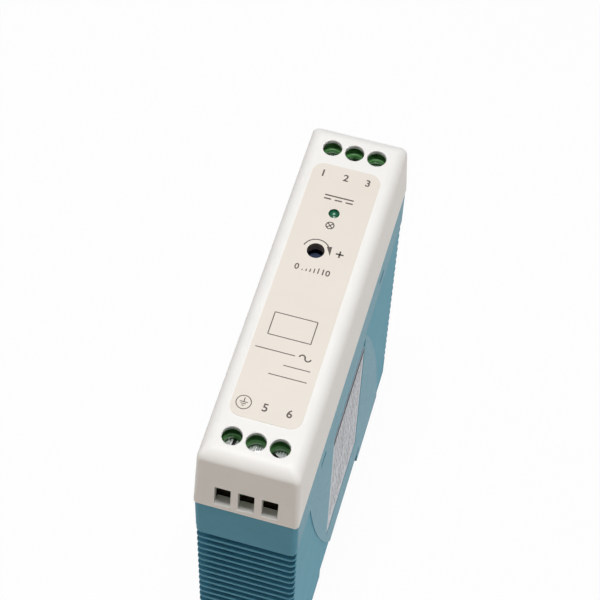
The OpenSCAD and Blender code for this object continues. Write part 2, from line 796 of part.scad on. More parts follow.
module rating_label() {
    color([0.68, 0.66, 0.68])
        translate([case_hw - pocket_d, pocket_y, pocket_z])
            block([0, -pocket_w / 2 + pocket_gap, -pocket_h / 2 + pocket_gap],
                [rating_t, pocket_w / 2 - label_far_gap, pocket_h / 2 - label_front_gap]);
}

// Rail foot

module rail_foot() {
    pull_y = foot_end + pull_web + pull_slot_l / 2;
    color([0.16, 0.17, 0.18])
        difference() {
            union() {
                block([-foot_hw, foot_end, 0], [foot_hw, seat_low - foot_play, foot_top]);
                block([-flange_hw, foot_end, flange_z], [flange_hw, seat_low - 2 * foot_play, foot_top]);
                along_x(foot_w) polygon([[seat_low - 1, 0], [seat_low - foot_play, 0], [nose_tip, 2.2],
                    [nose_tip, foot_top], [seat_low - 1, foot_top]]);
            }
            block([-spring_hw, pocket_near, foot_floor], [spring_hw, pocket_far, foot_top + eps]);
            translate([0, pull_y, 0]) cube([pull_slot_w, pull_slot_l, 4 * foot_top], center = true);
        }
}

// Centre line of the return spring, with the wire's ends closed up flat
coil_r = (spring_d - spring_wire) / 2;
ring_steps = 8;
wire_sides = 6;
coil_rings = spring_turns * ring_steps;
coil_run = spring_l - spring_wire - 2 * hair;
function coil_point(i) = [coil_r * cos(360 * i / ring_steps),
    spring_near + hair + spring_wire / 2 + coil_run * i / coil_rings,
    spring_z + coil_r * sin(360 * i / ring_steps)];
function coil_out(i) = [cos(360 * i / ring_steps), 0, sin(360 * i / ring_steps)];
coil_pts = [for (i = [0:coil_rings]) for (k = [0:wire_sides - 1])
    coil_point(i) + spring_wire / 2
        * (cos(360 * k / wire_sides) * coil_out(i) + [0, sin(360 * k / wire_sides), 0])];
coil_faces = concat(
    [[for (k = [0:wire_sides - 1]) k]],
    [for (i = [0:coil_rings - 1]) for (k = [0:wire_sides - 1]) for (half = [0, 1])
        let (a = i * wire_sides + k, b = i * wire_sides + (k + 1) % wire_sides)
        half == 0 ? [a, a + wire_sides, b] : [b, a + wire_sides, b + wire_sides]],
    [[for (k = [wire_sides - 1:-1:0]) coil_rings * wire_sides + k]]);
echo(spring_gap = coil_run / spring_turns - spring_wire);

module foot_spring() {
    color([0.75, 0.76, 0.78]) polyhedron(points = coil_pts, faces = coil_faces, convexity = 6);
}

// Terminals, drawn for the output end with the end of the body at +Y

module housing() {
    color([0.24, 0.5, 0.28])
        difference() {
            block([-housing_hw, housing_in, board_face], [housing_hw, housing_out, housing_top]);
            for (k = poles)
                translate([k * pitch, 0, 0]) {
                    translate([0, screw_y, seat_z])
                        cylinder(d = head_d + 2 * head_play, h = housing_top - screw_lip_t - seat_z);
                    translate([0, screw_y, housing_top - screw_lip_t - eps])
                        cylinder(d = housing_hole_d, h = screw_lip_t + 2 * eps);
                    translate([0, screw_y, shaft_top - eps])
                        cylinder(d = thread_d + 0.2, h = ledge_t + 2 * eps);
                    block([-shaft_hw, screw_y - shaft_hl, cage_low - 0.2],
                        [shaft_hw, screw_y + shaft_hl, shaft_top]);
                    // Way in for the wire
                    block([-cage_w / 2 + cage_wall, screw_y, window_low],
                        [cage_w / 2 - cage_wall, housing_out + eps, contact_low]);
                    // Mouth as wide as the slot in the cover, open down to the board
                    block([-slot_w / 2, screw_y + shaft_hl - eps, board_face - eps],
                        [slot_w / 2, housing_out + eps, slot_mid + slot_h / 2]);
                    // Seat of the contact, which lies on its floor
                    block([-contact_w / 2 - 0.05, pin_y - 0.05, contact_low],
                        [contact_w / 2 + 0.05, screw_y, contact_top + 0.05]);
                    block([-pin_hw - 0.05, pin_y - 0.05, board_face - eps],
                        [pin_hw + 0.05, pin_y + contact_t + 0.05, contact_top]);
                }
        }
}

module contacts() {
    color([0.8, 0.72, 0.45])
        for (k = poles)
            translate([k * pitch, 0, 0]) {
                block([-contact_w / 2, pin_y, contact_low],
                    [contact_w / 2, screw_y + cage_l / 2 - 0.4, contact_top]);
                block([-pin_hw, pin_y, pin_tail], [pin_hw, pin_y + contact_t, contact_top]);
            }
}

module clamp_cage(k) {
    color([0.78, 0.78, 0.76])
        translate([k * pitch, screw_y, 0])
            difference() {
                block([-cage_w / 2, -cage_l / 2, cage_low], [cage_w / 2, cage_l / 2, cage_top]);
                block([-cage_w / 2 + cage_wall, -cage_l, window_low],
                    [cage_w / 2 - cage_wall, cage_l, window_top]);
                translate([0, 0, window_top - eps])
                    cylinder(d = thread_d + 2 * thread_play, h = cage_top_t + 2 * eps);
            }
}

module clamp_screw(x, y, angle) {
    color([0.72, 0.73, 0.75])
        translate([x, y, 0])
            difference() {
                union() {
                    translate([0, 0, seat_z + hair]) cylinder(d = head_d, h = head_t - hair);
                    translate([0, 0, contact_top + 0.15])
                        cylinder(d = thread_d, h = seat_z + hair - contact_top);
                }
                rotate(angle)
                    translate([0, 0, head_top])
                        cube([2 * head_d, drive_w, 2 * drive_d], center = true);
            }
}

// The input end is the output end turned half round
module at_input() {
    rotate(180) children();
}

module output_housing() { housing(); }
module input_housing() { at_input() housing(); }
module output_contacts() { contacts(); }
module input_contacts() { at_input() contacts(); }
module output_screw_1() { clamp_screw(-pitch, screw_y, output_angles[0]); }
module output_screw_2() { clamp_screw(0, screw_y, output_angles[1]); }
module output_screw_3() { clamp_screw(pitch, screw_y, output_angles[2]); }
module input_screw_1() { clamp_screw(-pitch, -screw_y, input_angles[0]); }
module input_screw_2() { clamp_screw(0, -screw_y, input_angles[1]); }
module input_screw_3() { clamp_screw(pitch, -screw_y, input_angles[2]); }
module output_cage_1() { clamp_cage(-1); }
module output_cage_2() { clamp_cage(0); }
module output_cage_3() { clamp_cage(1); }
module input_cage_1() { at_input() clamp_cage(1); }
module input_cage_2() { at_input() clamp_cage(0); }
module input_cage_3() { at_input() clamp_cage(-1); }

// Boards

module front_board() {
    color([0.24, 0.15, 0.09])
        difference() {
            block([-front_board_hw, -front_board_hh, board_low],
                [front_board_hw, front_board_hh, board_face]);
            for (x = [-1, 1])
                for (y = [-1, 1])
                    translate([x * front_board_hw, y * snap_y, board_face])
                        cube([2 * (tongue_t + 0.3), tongue_w + 0.8, 4 * board_t], center = true);
            for (s = [-1, 1])
                for (k = poles)
                    translate([k * pitch, s * (pin_y + contact_t / 2), board_low - eps])
                        cylinder(r = norm([pin_hw, contact_t / 2]) + 0.05, h = board_t + 2 * eps, $fn = 24);
            for (x = [-1, 1])
                translate([x * lamp_pitch / 2, lamp_y, board_low - eps])
                    cylinder(r = lamp_lead_r + 0.1, h = board_t + 2 * eps, $fn = 24);
            for (y = concat(mains_pins, output_pins))
                translate([bx + link_out, y, board_low - eps])
                    cylinder(r = link_pin * 0.8, h = board_t + 2 * eps, $fn = 24);
        }
}

module main_board() {
    color([0.72, 0.62, 0.4])
        difference() {
            block([solder_x, -main_hh, main_low], [bx, main_hh, main_top]);
            for (p = all_leads)
                translate([solder_x - eps, p[0], p[1]]) rotate([0, 90, 0])
                    cylinder(r = lead_r + lead_play, h = board_t + 2 * eps, $fn = 24);
            for (y = concat(mains_pins, output_pins))
                translate([solder_x - eps, y, link_z]) rotate([0, 90, 0])
                    cylinder(r = link_pin * 0.8, h = board_t + 2 * eps, $fn = 24);
        }
}

// Angled pin strip between the two boards
module pin_link(places) {
    mid = (places[0] + places[len(places) - 1]) / 2;
    span = places[len(places) - 1] - places[0] + link_body;
    color([0.14, 0.14, 0.15])
        block([bx, mid - span / 2, link_z - link_body / 2],
            [bx + link_body, mid + span / 2, link_z + link_body / 2]);
    color([0.8, 0.7, 0.4])
        for (y = places) {
            block([solder_x - lead_tail, y - link_pin / 2, link_z - link_pin / 2],
                [bx + link_out + link_pin / 2, y + link_pin / 2, link_z + link_pin / 2]);
            block([bx + link_out - link_pin / 2, y - link_pin / 2, link_z - link_pin / 2],
                [bx + link_out + link_pin / 2, y + link_pin / 2, board_face + 0.8]);
        }
}

module mains_link() { pin_link(mains_pins); }
module output_link() { pin_link(output_pins); }

module insulation_sheet() {
    color([0.9, 0.88, 0.8])
        block([-inner_hw, -inner_hh + guide_l + 0.4, main_low],
            [-inner_hw + sheet_t, inner_hh - guide_l - 0.4, tongue_tip - 0.6]);
}

// Lamp and trimmer

module lamp() {
    r = lamp_d / 2;
    flange_r = r + 0.35;
    crown = lens_r - sqrt(lens_r * lens_r - r * r);
    color([0.1, 0.45, 0.25])
        translate([0, lamp_y, 0])
            rotate_extrude()
                intersection() {
                    union() {
                        intersection() {
                            translate([0, lamp_tip - lens_r]) circle(lens_r);
                            translate([0, lamp_tip - crown - eps]) square([r, lamp_l]);
                        }
                        translate([0, lamp_low]) square([r, lamp_l - crown]);
                        translate([0, lamp_low]) square([flange_r, 0.9]);
                    }
                    translate([0, lamp_low]) square([2 * r, lamp_l + 1]);
                }
}

module lamp_leads() {
    color([0.78, 0.78, 0.78])
        for (x = [-1, 1])
            translate([x * lamp_pitch / 2, lamp_y, board_low - 0.8])
                cylinder(r = lamp_lead_r, h = lamp_low - board_low + 0.8, $fn = 24);
}

module lamp_spacer() {
    color([0.92, 0.92, 0.9])
        translate([0, lamp_y, board_face])
            difference() {
                cylinder(r = lamp_pitch / 2 + 1, h = lamp_low - board_face);
                for (x = [-1, 1])
                    translate([x * lamp_pitch / 2, 0, -eps])
                        cylinder(r = lamp_lead_r + 0.1, h = lamp_low - board_face + 2 * eps, $fn = 24);
            }
}

module trimmer_bush() {
    color([0.2, 0.2, 0.2])
        translate([trim_x, trim_y, face_z - bush_l])
            difference() {
                cylinder(d = bush_d, h = bush_l);
                translate([0, 0, -eps]) cylinder(d = trim_d, h = bush_l + 2 * eps);
            }
}

module trimmer_body() {
    color([0.1, 0.25, 0.5])
        difference() {
            translate([trim_x - trim_side / 2, trim_y - trim_side / 2, board_face])
                cube([trim_side, trim_side, trim_top - board_face]);
            translate([trim_x, trim_y, trim_top - rotor_seat])
                cylinder(d = rotor_d + 2 * rotor_play, h = rotor_seat + eps);
        }
}

module trimmer_rotor() {
    color([0.14, 0.3, 0.55])
        translate([trim_x, trim_y, 0])
            difference() {
                translate([0, 0, trim_top - rotor_seat + hair])
                    cylinder(d = rotor_d, h = rotor_seat + rotor_out - hair);
                translate([0, 0, trim_top + rotor_out]) cube([2 * rotor_d, 0.6, 1.4], center = true);
            }
}

// Parts on the main board

module fuse() {
    color([0.2, 0.2, 0.22]) {
        on_board(fuse_at)
            rotate_extrude()
                polygon([[0, 0], [fuse_d / 2, 0], [fuse_d / 2, fuse_h - 0.5],
                    [fuse_d / 2 - 0.5, fuse_h], [0, fuse_h]]);
        for (p = fuse_leads) lead(p, 1);
    }
}

// Round disc standing on two leads, its face along Z or Y
module disc_part(at, d, leads, upright, tint) {
    stand = 1.2;
    rim = 0.6;
    color(tint) {
        translate([bx + stand + d / 2, at[0], at[1]])
            rotate(upright ? [90, 0, 0] : [0, 0, 0])
                rotate_extrude()
                    polygon([[0, -disc_t / 2], [d / 2 - rim, -disc_t / 2], [d / 2, -disc_t / 2 + rim],
                        [d / 2, disc_t / 2 - rim], [d / 2 - rim, disc_t / 2], [0, disc_t / 2]]);
        for (p = leads) lead(p, stand + d / 2 - 0.4);
    }
}

module varistor() { disc_part(varistor_at, varistor_d, varistor_leads, true, [0.15, 0.3, 0.6]); }
module inrush_thermistor() {
    disc_part(thermistor_at, thermistor_d, thermistor_leads, true, [0.15, 0.16, 0.15]);
}
module safety_capacitor() { disc_part(safety_at, safety_d, safety_leads, false, [0.2, 0.45, 0.75]); }

module suppression_capacitor() {
    color([0.85, 0.75, 0.2]) {
        block([bx, x_cap_at[0] - x_cap_l / 2, x_cap_at[1] - x_cap_t / 2],
            [bx + x_cap_h, x_cap_at[0] + x_cap_l / 2, x_cap_at[1] + x_cap_t / 2]);
        for (p = x_cap_leads) lead(p, 1);
    }
}

choke_up = 1 + choke_build;
choke_out_r = choke_d / 2;
choke_in_r = choke_bore / 2;
wind_arc = 120;

module choke_core() {
    color([0.25, 0.26, 0.27])
        on_board(choke_at, choke_up)
            rotate_extrude() translate([choke_in_r, 0]) square([choke_out_r - choke_in_r, choke_h]);
}

// One winding lies round the core as a sleeve over part of the ring
module choke_winding(turn) {
    gap = 0.05;
    color([0.72, 0.42, 0.2]) {
        on_board(choke_at, choke_up)
            rotate(turn - wind_arc / 2)
                rotate_extrude(angle = wind_arc)
                    difference() {
                        translate([choke_in_r - choke_build, -choke_build])
                            square([choke_out_r - choke_in_r + 2 * choke_build, choke_h + 2 * choke_build]);
                        translate([choke_in_r - gap, 0])
                            square([choke_out_r - choke_in_r + 2 * gap, choke_h]);
                    }
    }
}

module choke_winding_a() {
    choke_winding(90);
    color([0.72, 0.42, 0.2])
        for (p = choke_leads) if (p[0] > choke_at[0]) choke_tail(p);
}

module choke_winding_b() {
    choke_winding(270);
    color([0.72, 0.42, 0.2])
        for (p = choke_leads) if (p[0] < choke_at[0]) choke_tail(p);
}

// Wire end from the winding's face down to the board
module choke_tail(p) {
    lead(p, choke_up + 1);
    toward = choke_at - p;
    reach = norm(toward) - choke_out_r - choke_build / 2;
    translate([bx + choke_up + 0.6, p[0], p[1]])
        rotate([atan2(toward[1], toward[0]), 0, 0])
            rotate([-90, 0, 0])
                cylinder(r = 0.8 * lead_r, h = reach, $fn = 24);
}

module bridge_rectifier() {
    color([0.13, 0.13, 0.14]) {
        block([bx, bridge_at[0] - bridge_l / 2, bridge_at[1] - bridge_w / 2],
            [bx + bridge_h, bridge_at[0] + bridge_l / 2, bridge_at[1] + bridge_w / 2]);
        for (p = bridge_leads) {
            lead(p, 2);
            block([bx + 1.6, p[0] - lead_r, min(p[1], bridge_at[1])],
                [bx + 2, p[0] + lead_r, max(p[1], bridge_at[1])]);
        }
    }
}

module bulk_capacitor() {
    r = bulk_d / 2;
    up = bx + 0.1 + r;
    crimp = 2.4;
    color([0.16, 0.18, 0.24]) {
        translate([up, bulk_at[0], bulk_at[1]])
            rotate_extrude()
                polygon([[0, 0], [r - 0.6, 0], [r, 0.6], [r, bulk_l - crimp - 0.8],
                    [r - 0.5, bulk_l - crimp - 0.4], [r - 0.5, bulk_l - crimp + 0.4],
                    [r, bulk_l - crimp + 0.8], [r, bulk_l - 0.4], [r - 0.4, bulk_l], [0, bulk_l]]);
        for (p = bulk_leads) {
            lead(p, up - bx);
            translate([up, p[0], bulk_at[1] + bulk_l - 0.4])
                cylinder(r = knee_r, h = p[1] + knee_r + hair - bulk_at[1] - bulk_l + 0.4, $fn = 24);
        }
    }
}

// Small upright can with two leads
module can(at, d, h, leads, tint) {
    color(tint) {
        on_board(at)
            rotate_extrude()
                polygon([[0, 0], [d / 2 - 0.3, 0], [d / 2, 0.3], [d / 2, 1.2], [d / 2 - 0.3, 1.5],
                    [d / 2, 1.8], [d / 2, h - 0.4], [d / 2 - 0.4, h], [0, h]]);
        for (p = leads) lead(p, 1);
    }
}

module auxiliary_capacitor() { can(aux_at, aux_d, aux_h, aux_leads, [0.16, 0.2, 0.3]); }

module output_capacitors() {
    for (i = [0:2])
        can(out_caps_at[i], out_cap_d, out_cap_h,
            [out_cap_leads[2 * i], out_cap_leads[2 * i + 1]], [0.14, 0.26, 0.2]);
}

// Transformer: two E-shaped halves, bobbin and winding, winding axis along Z
core_x = bx + 7.1;
leg_in = core_size / 2 - core_leg;
tube_hw = core_t / 2 + 0.15 + bobbin_wall;
flange_out = leg_in - 0.2;
pin_rail = 1.8;
core_y0 = transformer_at[0];
core_z0 = transformer_at[1];

module transformer_core() {
    color([0.2, 0.2, 0.21])
        for (s = [-1, 1])
            translate([core_x, core_y0, core_z0])
                mirror([0, 0, s > 0 ? 0 : 1]) {
                    block([-core_t / 2, -core_size / 2, leg_in], [core_t / 2, core_size / 2, core_size / 2]);
                    block([-core_t / 2, -core_size / 2, hair], [core_t / 2, -leg_in, leg_in + hair]);
                    block([-core_t / 2, leg_in, hair], [core_t / 2, core_size / 2, leg_in + hair]);
                    block([-core_t / 2, -core_t / 2, hair], [core_t / 2, core_t / 2, leg_in + hair]);
                }
}

module transformer_bobbin() {
    color([0.12, 0.12, 0.13]) {
        translate([core_x, core_y0, core_z0])
            difference() {
                union() {
                    block([-tube_hw, -tube_hw, -leg_in], [tube_hw, tube_hw, leg_in]);
                    for (s = [-1, 1])
                        translate([0, 0, s * (leg_in - pin_rail / 2)])
                            cube([2 * flange_out, 2 * flange_out, pin_rail], center = true);
                }
                cube([core_t + 0.3, core_t + 0.3, 4 * leg_in], center = true);
            }
        for (p = transformer_leads) lead(p, core_x - bx - flange_out + 0.5);
    }
}

module transformer_winding() {
    out = tube_hw + winding_build;
    color([0.9, 0.82, 0.3])
        translate([core_x, core_y0, core_z0])
            difference() {
                cube([2 * out, 2 * out, 2 * (leg_in - pin_rail)], center = true);
                cube([2 * tube_hw + 0.1, 2 * tube_hw + 0.1, 4 * leg_in], center = true);
            }
}

// Power transistor against a plate; leads leave towards -Y and step down to the board
power_y0 = 5.2;
power_up = 1.5;
tab_hole_y = power_y0 + power_body_l + power_tab_l - 2.8;
power_mid = power_up + power_w / 2;
leg_w = lead_d + 0.2;
leg_t = 0.6;

module power_part(at) {
    color([0.14, 0.14, 0.15]) {
        translate([bx, at[0], at[1] + sink_t]) {
            block([power_up, power_y0, hair], [power_up + power_w, power_y0 + power_body_l, power_t]);
            difference() {
                block([power_up, power_y0 + power_body_l - 0.5, hair],
                    [power_up + power_w, power_y0 + power_body_l + power_tab_l, power_tab_t]);
                translate([power_mid, tab_hole_y, -eps])
                    cylinder(d = sink_screw_d + 0.4, h = power_tab_t + 2 * eps);
            }
        }
        for (i = [0:2])
            let (p = power_leads(at)[i], up = power_up + power_rise[i] - 0.3) {
                lead(p, up);
                block([bx + up - leg_t / 2, p[0] - leg_w / 2, p[1] - leg_w / 2],
                    [bx + up + leg_t / 2, at[0] + power_y0 + hair, p[1] + leg_w / 2]);
            }
    }
}

module plate(at) {
    color([0.75, 0.76, 0.77])
        translate([bx, at[0], at[1]])
            difference() {
                block([0, 0, 0], [sink_h, sink_l, sink_t]);
                translate([power_mid, tab_hole_y, -eps])
                    cylinder(d = sink_screw_d + 0.1, h = sink_t + 2 * eps);
            }
}

module switching_transistor() { power_part(primary_at); }
module output_rectifier() { power_part(secondary_at); }
module primary_heatsink() { plate(primary_at); }
module secondary_heatsink() { plate(secondary_at); }

module heatsink_screws() {
    color([0.7, 0.71, 0.73])
        for (at = [primary_at, secondary_at])
            translate([bx + power_mid, at[0] + tab_hole_y, at[1]]) {
                translate([0, 0, -1]) cylinder(d = sink_screw_d, h = sink_t + power_tab_t + 1.5);
                translate([0, 0, sink_t + power_tab_t + hair])
                    difference() {
                        cylinder(d = 2 * sink_screw_d - 0.5, h = 1.9);
                        translate([0, 0, 1.9]) cube([3 * sink_screw_d, 0.7, 1.6], center = true);
                    }
            }
}

// Moulded chip with two rows of legs
module chip(at, l, leads) {
    color([0.12, 0.12, 0.13]) {
        block([bx, at[0] - chip_w / 2, at[1] - l / 2], [bx + chip_h, at[0] + chip_w / 2, at[1] + l / 2]);
        for (p = leads) {
            lead(p, 2);
            block([bx + 1.6, min(p[0], at[0]), p[1] - 0.25], [bx + 2, max(p[0], at[0]), p[1] + 0.25]);
        }
    }
}

module controller_chip() { chip(chip_at, chip_l, chip_leads); }
module optocoupler() { chip(opto_at, opto_l, opto_leads); }

module snubber_resistor() {
    l = resistor_l;
    r = resistor_d / 2;
    up = r + 0.5;
    color([0.35, 0.5, 0.62]) {
        translate([bx + up, snubber_at[0], snubber_at[1]])
            rotate([90, 0, 0])
                rotate_extrude()
                    polygon([[0, -l / 2], [r - 0.3, -l / 2], [r, -l / 2 + 0.3], [r, -l / 2 + 2],
                        [r - 0.3, -l / 2 + 2.6], [r - 0.3, l / 2 - 2.6], [r, l / 2 - 2],
                        [r, l / 2 - 0.3], [r - 0.3, l / 2], [0, l / 2]]);
        for (p = snubber_leads) {
            run = abs(p[0] - snubber_at[0]) + knee_r + hair;
            lead(p, up);
            translate([bx + up, snubber_at[0], p[1]])
                rotate([p[0] > snubber_at[0] ? -90 : 90, 0, 0])
                    translate([0, 0, l / 2 - 0.3])
                        cylinder(r = knee_r, h = run - l / 2 + 0.3, $fn = 24);
        }
    }
}

module inductor_core() {
    color([0.22, 0.22, 0.23]) {
        on_board(coil_at)
            rotate_extrude()
                polygon([[0, 0], [coil_d / 2, 0], [coil_d / 2, coil_rim], [coil_d / 4, coil_rim],
                    [coil_d / 4, coil_h - coil_rim], [coil_d / 2, coil_h - coil_rim],
                    [coil_d / 2, coil_h], [0, coil_h]]);
        for (p = coil_leads) lead(p, 1);
    }
}

module inductor_winding() {
    color([0.74, 0.44, 0.2])
        on_board(coil_at)
            rotate_extrude()
                translate([coil_d / 4 + 0.05, coil_rim])
                    square([coil_d / 4 - 0.35, coil_h - 2 * coil_rim]);
}

// Small transistor with one flat side
module small_transistor(at, leads) {
    color([0.13, 0.13, 0.14]) {
        translate([bx + small_up, at[0], at[1]])
            rotate([0, 90, 0])
                linear_extrude(small_h)
                    intersection() {
                        circle(d = small_d);
                        translate([0, small_d / 6]) square([2 * small_d, small_d - 0.4], center = true);
                    }
        for (p = leads) lead(p, small_up + 0.5);
    }
}

module shunt_regulator() { small_transistor(shunt_at, shunt_leads); }
module status_transistor() { small_transistor(status_at, status_leads); }

case();
front_cover();
front_label();
rating_label();
rail_foot();
foot_spring();
output_housing();
input_housing();
output_contacts();
input_contacts();
output_screw_1();
output_screw_2();
output_screw_3();
input_screw_1();
input_screw_2();
input_screw_3();
output_cage_1();
output_cage_2();
output_cage_3();
input_cage_1();
input_cage_2();
input_cage_3();
front_board();
main_board();
mains_link();
output_link();
lamp();
lamp_leads();
lamp_spacer();
trimmer_bush();
trimmer_body();
trimmer_rotor();
fuse();
varistor();
inrush_thermistor();
suppression_capacitor();
choke_core();
choke_winding_a();
choke_winding_b();
bridge_rectifier();
bulk_capacitor();
transformer_core();
transformer_bobbin();
transformer_winding();
switching_transistor();
primary_heatsink();
controller_chip();
auxiliary_capacitor();
snubber_resistor();
optocoupler();
safety_capacitor();
output_rectifier();
secondary_heatsink();
output_capacitors();
inductor_core();
inductor_winding();
shunt_regulator();
status_transistor();
heatsink_screws();
insulation_sheet();
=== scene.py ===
# %% [markdown]
# # A slim power supply for a mounting rail
# The object is a narrow box that snaps onto a metal rail in a control cabinet: a ribbed teal tub, a
# white front cover with screw terminals at both ends, and the electronics inside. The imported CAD
# model is loaded as a fixed frame, so each piece made here goes straight to its place, in metres.

# %% Load the frame
from math import cos, pi, radians, sin

import bmesh
import bpy
from mathutils import Matrix, Vector


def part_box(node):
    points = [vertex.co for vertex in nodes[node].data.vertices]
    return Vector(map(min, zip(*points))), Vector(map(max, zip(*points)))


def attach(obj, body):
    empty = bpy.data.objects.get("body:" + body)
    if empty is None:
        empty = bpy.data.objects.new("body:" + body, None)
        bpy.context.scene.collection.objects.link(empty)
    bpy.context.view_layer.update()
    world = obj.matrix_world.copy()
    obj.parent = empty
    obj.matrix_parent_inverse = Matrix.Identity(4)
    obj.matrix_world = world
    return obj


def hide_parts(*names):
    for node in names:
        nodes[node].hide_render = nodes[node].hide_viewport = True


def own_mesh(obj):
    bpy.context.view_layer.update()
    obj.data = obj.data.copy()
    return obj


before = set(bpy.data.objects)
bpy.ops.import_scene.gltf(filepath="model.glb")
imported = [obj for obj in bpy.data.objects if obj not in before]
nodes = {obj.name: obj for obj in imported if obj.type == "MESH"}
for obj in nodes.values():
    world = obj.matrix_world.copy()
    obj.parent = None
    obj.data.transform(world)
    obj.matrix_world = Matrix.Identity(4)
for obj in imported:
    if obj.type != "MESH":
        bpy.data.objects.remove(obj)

MM = 0.001
scene = bpy.context.scene
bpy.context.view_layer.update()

# %% [markdown]
# ## The camera
# The picture looks down on the front face from the input end and a little from the right, with a
# long lens, so the sides lean together only slightly. A camera can be aimed at a target with a
# constraint, but the place and the three angles are written out here, because they were measured
# from straight edges of the object and include a small tilt of the camera itself.

# %% Camera
camera = bpy.data.objects.new("camera", bpy.data.cameras.new("camera"))
camera.data.sensor_fit = "HORIZONTAL"
camera.data.sensor_width = 36
camera.data.lens = 114.11
camera.data.clip_start = 0.01
camera.location = Vector((50.06, -210.05, 432.22)) * MM
camera.rotation_euler = (radians(32.684), radians(-1.419), radians(16.029))
scene.collection.objects.link(camera)
scene.camera = camera
scene.view_settings.view_transform = "Standard"
print("camera", round(camera.location.length, 3), "m from the rear's middle")

# %% [markdown]
# ## Floor, world and lamps
# Product pictures are taken on a white sweep under large soft boxes. The floor and the world look
# white to the camera and in reflections, through the Light Path node, and are dimmer as light
# sources. That keeps the background white without washing out the object, and the floor still
# takes the object's soft shadow.

# %% Floor and world
def seen_directly(tree):
    """1 for camera, glossy and transmission rays, 0 for the rays that carry light."""
    path = tree.nodes.new("ShaderNodeLightPath")
    either = tree.nodes.new("ShaderNodeMath")
    any_of = tree.nodes.new("ShaderNodeMath")
    either.operation = any_of.operation = "MAXIMUM"
    tree.links.new(path.outputs["Is Camera Ray"], either.inputs[0])
    tree.links.new(path.outputs["Is Glossy Ray"], either.inputs[1])
    tree.links.new(either.outputs[0], any_of.inputs[0])
    tree.links.new(path.outputs["Is Transmission Ray"], any_of.inputs[1])
    return any_of.outputs[0]


def white_world(light):
    """A world that looks white and gives that much light."""
    world = bpy.data.worlds.new("studio")
    scene.world = world
    world.use_nodes = True
    tree = world.node_tree
    dim = tree.nodes["Background"]
    dim.inputs["Color"].default_value = (1, 0.99, 0.98, 1)
    dim.inputs["Strength"].default_value = light
    white = tree.nodes.new("ShaderNodeBackground")
    white.inputs["Color"].default_value = (1, 1, 1, 1)
    white.inputs["Strength"].default_value = 1
    pick = tree.nodes.new("ShaderNodeMixShader")
    tree.links.new(seen_directly(tree), pick.inputs[0])
    tree.links.new(dim.outputs[0], pick.inputs[1])
    tree.links.new(white.outputs[0], pick.inputs[2])
    tree.links.new(pick.outputs[0], tree.nodes["World Output"].inputs["Surface"])


def white_floor(reach, paper, glow_share):
    """Paper just under the object; what is seen of it is mostly an even white glow."""
    shape = bmesh.new()
    bmesh.ops.create_grid(shape, x_segments=8, y_segments=8, size=reach)
    bmesh.ops.translate(shape, verts=shape.verts, vec=(0, 0, -0.1 * MM))
    mesh = bpy.data.meshes.new("floor")
    shape.to_mesh(mesh)
    shape.free()
    floor = bpy.data.objects.new("floor", mesh)
    scene.collection.objects.link(floor)
    mat = bpy.data.materials.new("white_paper")
    mat.use_nodes = True
    tree = mat.node_tree
    dull = tree.nodes.new("ShaderNodeBsdfDiffuse")
    dull.inputs["Color"].default_value = paper
    white = tree.nodes.new("ShaderNodeBsdfDiffuse")
    white.inputs["Color"].default_value = (1, 1, 1, 1)
    glow = tree.nodes.new("ShaderNodeEmission")
    glow.inputs["Strength"].default_value = 1
    sweep = tree.nodes.new("ShaderNodeMixShader")
    sweep.inputs[0].default_value = glow_share
    tree.links.new(white.outputs[0], sweep.inputs[1])
    tree.links.new(glow.outputs[0], sweep.inputs[2])
    pick = tree.nodes.new("ShaderNodeMixShader")
    tree.links.new(seen_directly(tree), pick.inputs[0])
    tree.links.new(dull.outputs[0], pick.inputs[1])
    tree.links.new(sweep.outputs[0], pick.inputs[2])
    tree.links.new(pick.outputs[0], tree.nodes["Material Output"].inputs["Surface"])
    mesh.materials.append(mat)


white_world(light=0.05)
white_floor(reach=2.5, paper=(0.93, 0.83, 0.74, 1), glow_share=0.95)
print("floor and world are white to the camera")

# %% Lamps
def soft_box(name, place, aim, size, power, colour=(1, 1, 1)):
    """A square lamp aimed at a point; places and size in metres, power in watts."""
    lamp = bpy.data.lights.new(name, "AREA")
    lamp.shape = "SQUARE"
    lamp.size = size
    lamp.energy = power
    lamp.color = colour
    box = bpy.data.objects.new(name, lamp)
    box.location = place
    box.rotation_euler = (Vector(aim) - Vector(place)).to_track_quat("-Z", "Y").to_euler()
    scene.collection.objects.link(box)


soft_box("overhead", (0.015, 0.0, 0.6), (0, 0, 0.1), 0.17, 2.05)
soft_box("left", (-0.8, -0.1, 0.9), (0, 0, 0.1), 0.6, 2.4)
soft_box("right", (1.0, -0.1, 0.2), (0, 0, 0.06), 0.36, 2.25)
soft_box("front", (-0.15, -0.9, 0.1), (0, 0, 0.07), 0.3, 1.1, (1, 0.90, 0.81))
print("one soft box overhead, farther ones at the sides and a warm one in front")

# %% [markdown]
# ## Finishes
# Almost every surface is moulded plastic, plated metal or coated wire. Each finish starts from the
# same few steps: coarse noise on Object coordinates for slow changes of tint, and fine noise for
# both the roughness and the grain that the mould or the tool leaves. Object coordinates are in
# metres and don't move with the camera, so one helper takes sizes in millimetres and does the sum.

# %% Helpers for finishes
def new_finish(name):
    """A material with its tree, its shader and its Object coordinates."""
    mat = bpy.data.materials.new(name)
    mat.use_nodes = True
    tree = mat.node_tree
    where = tree.nodes.new("ShaderNodeTexCoord").outputs["Object"]
    return mat, tree, tree.nodes["Principled BSDF"], where


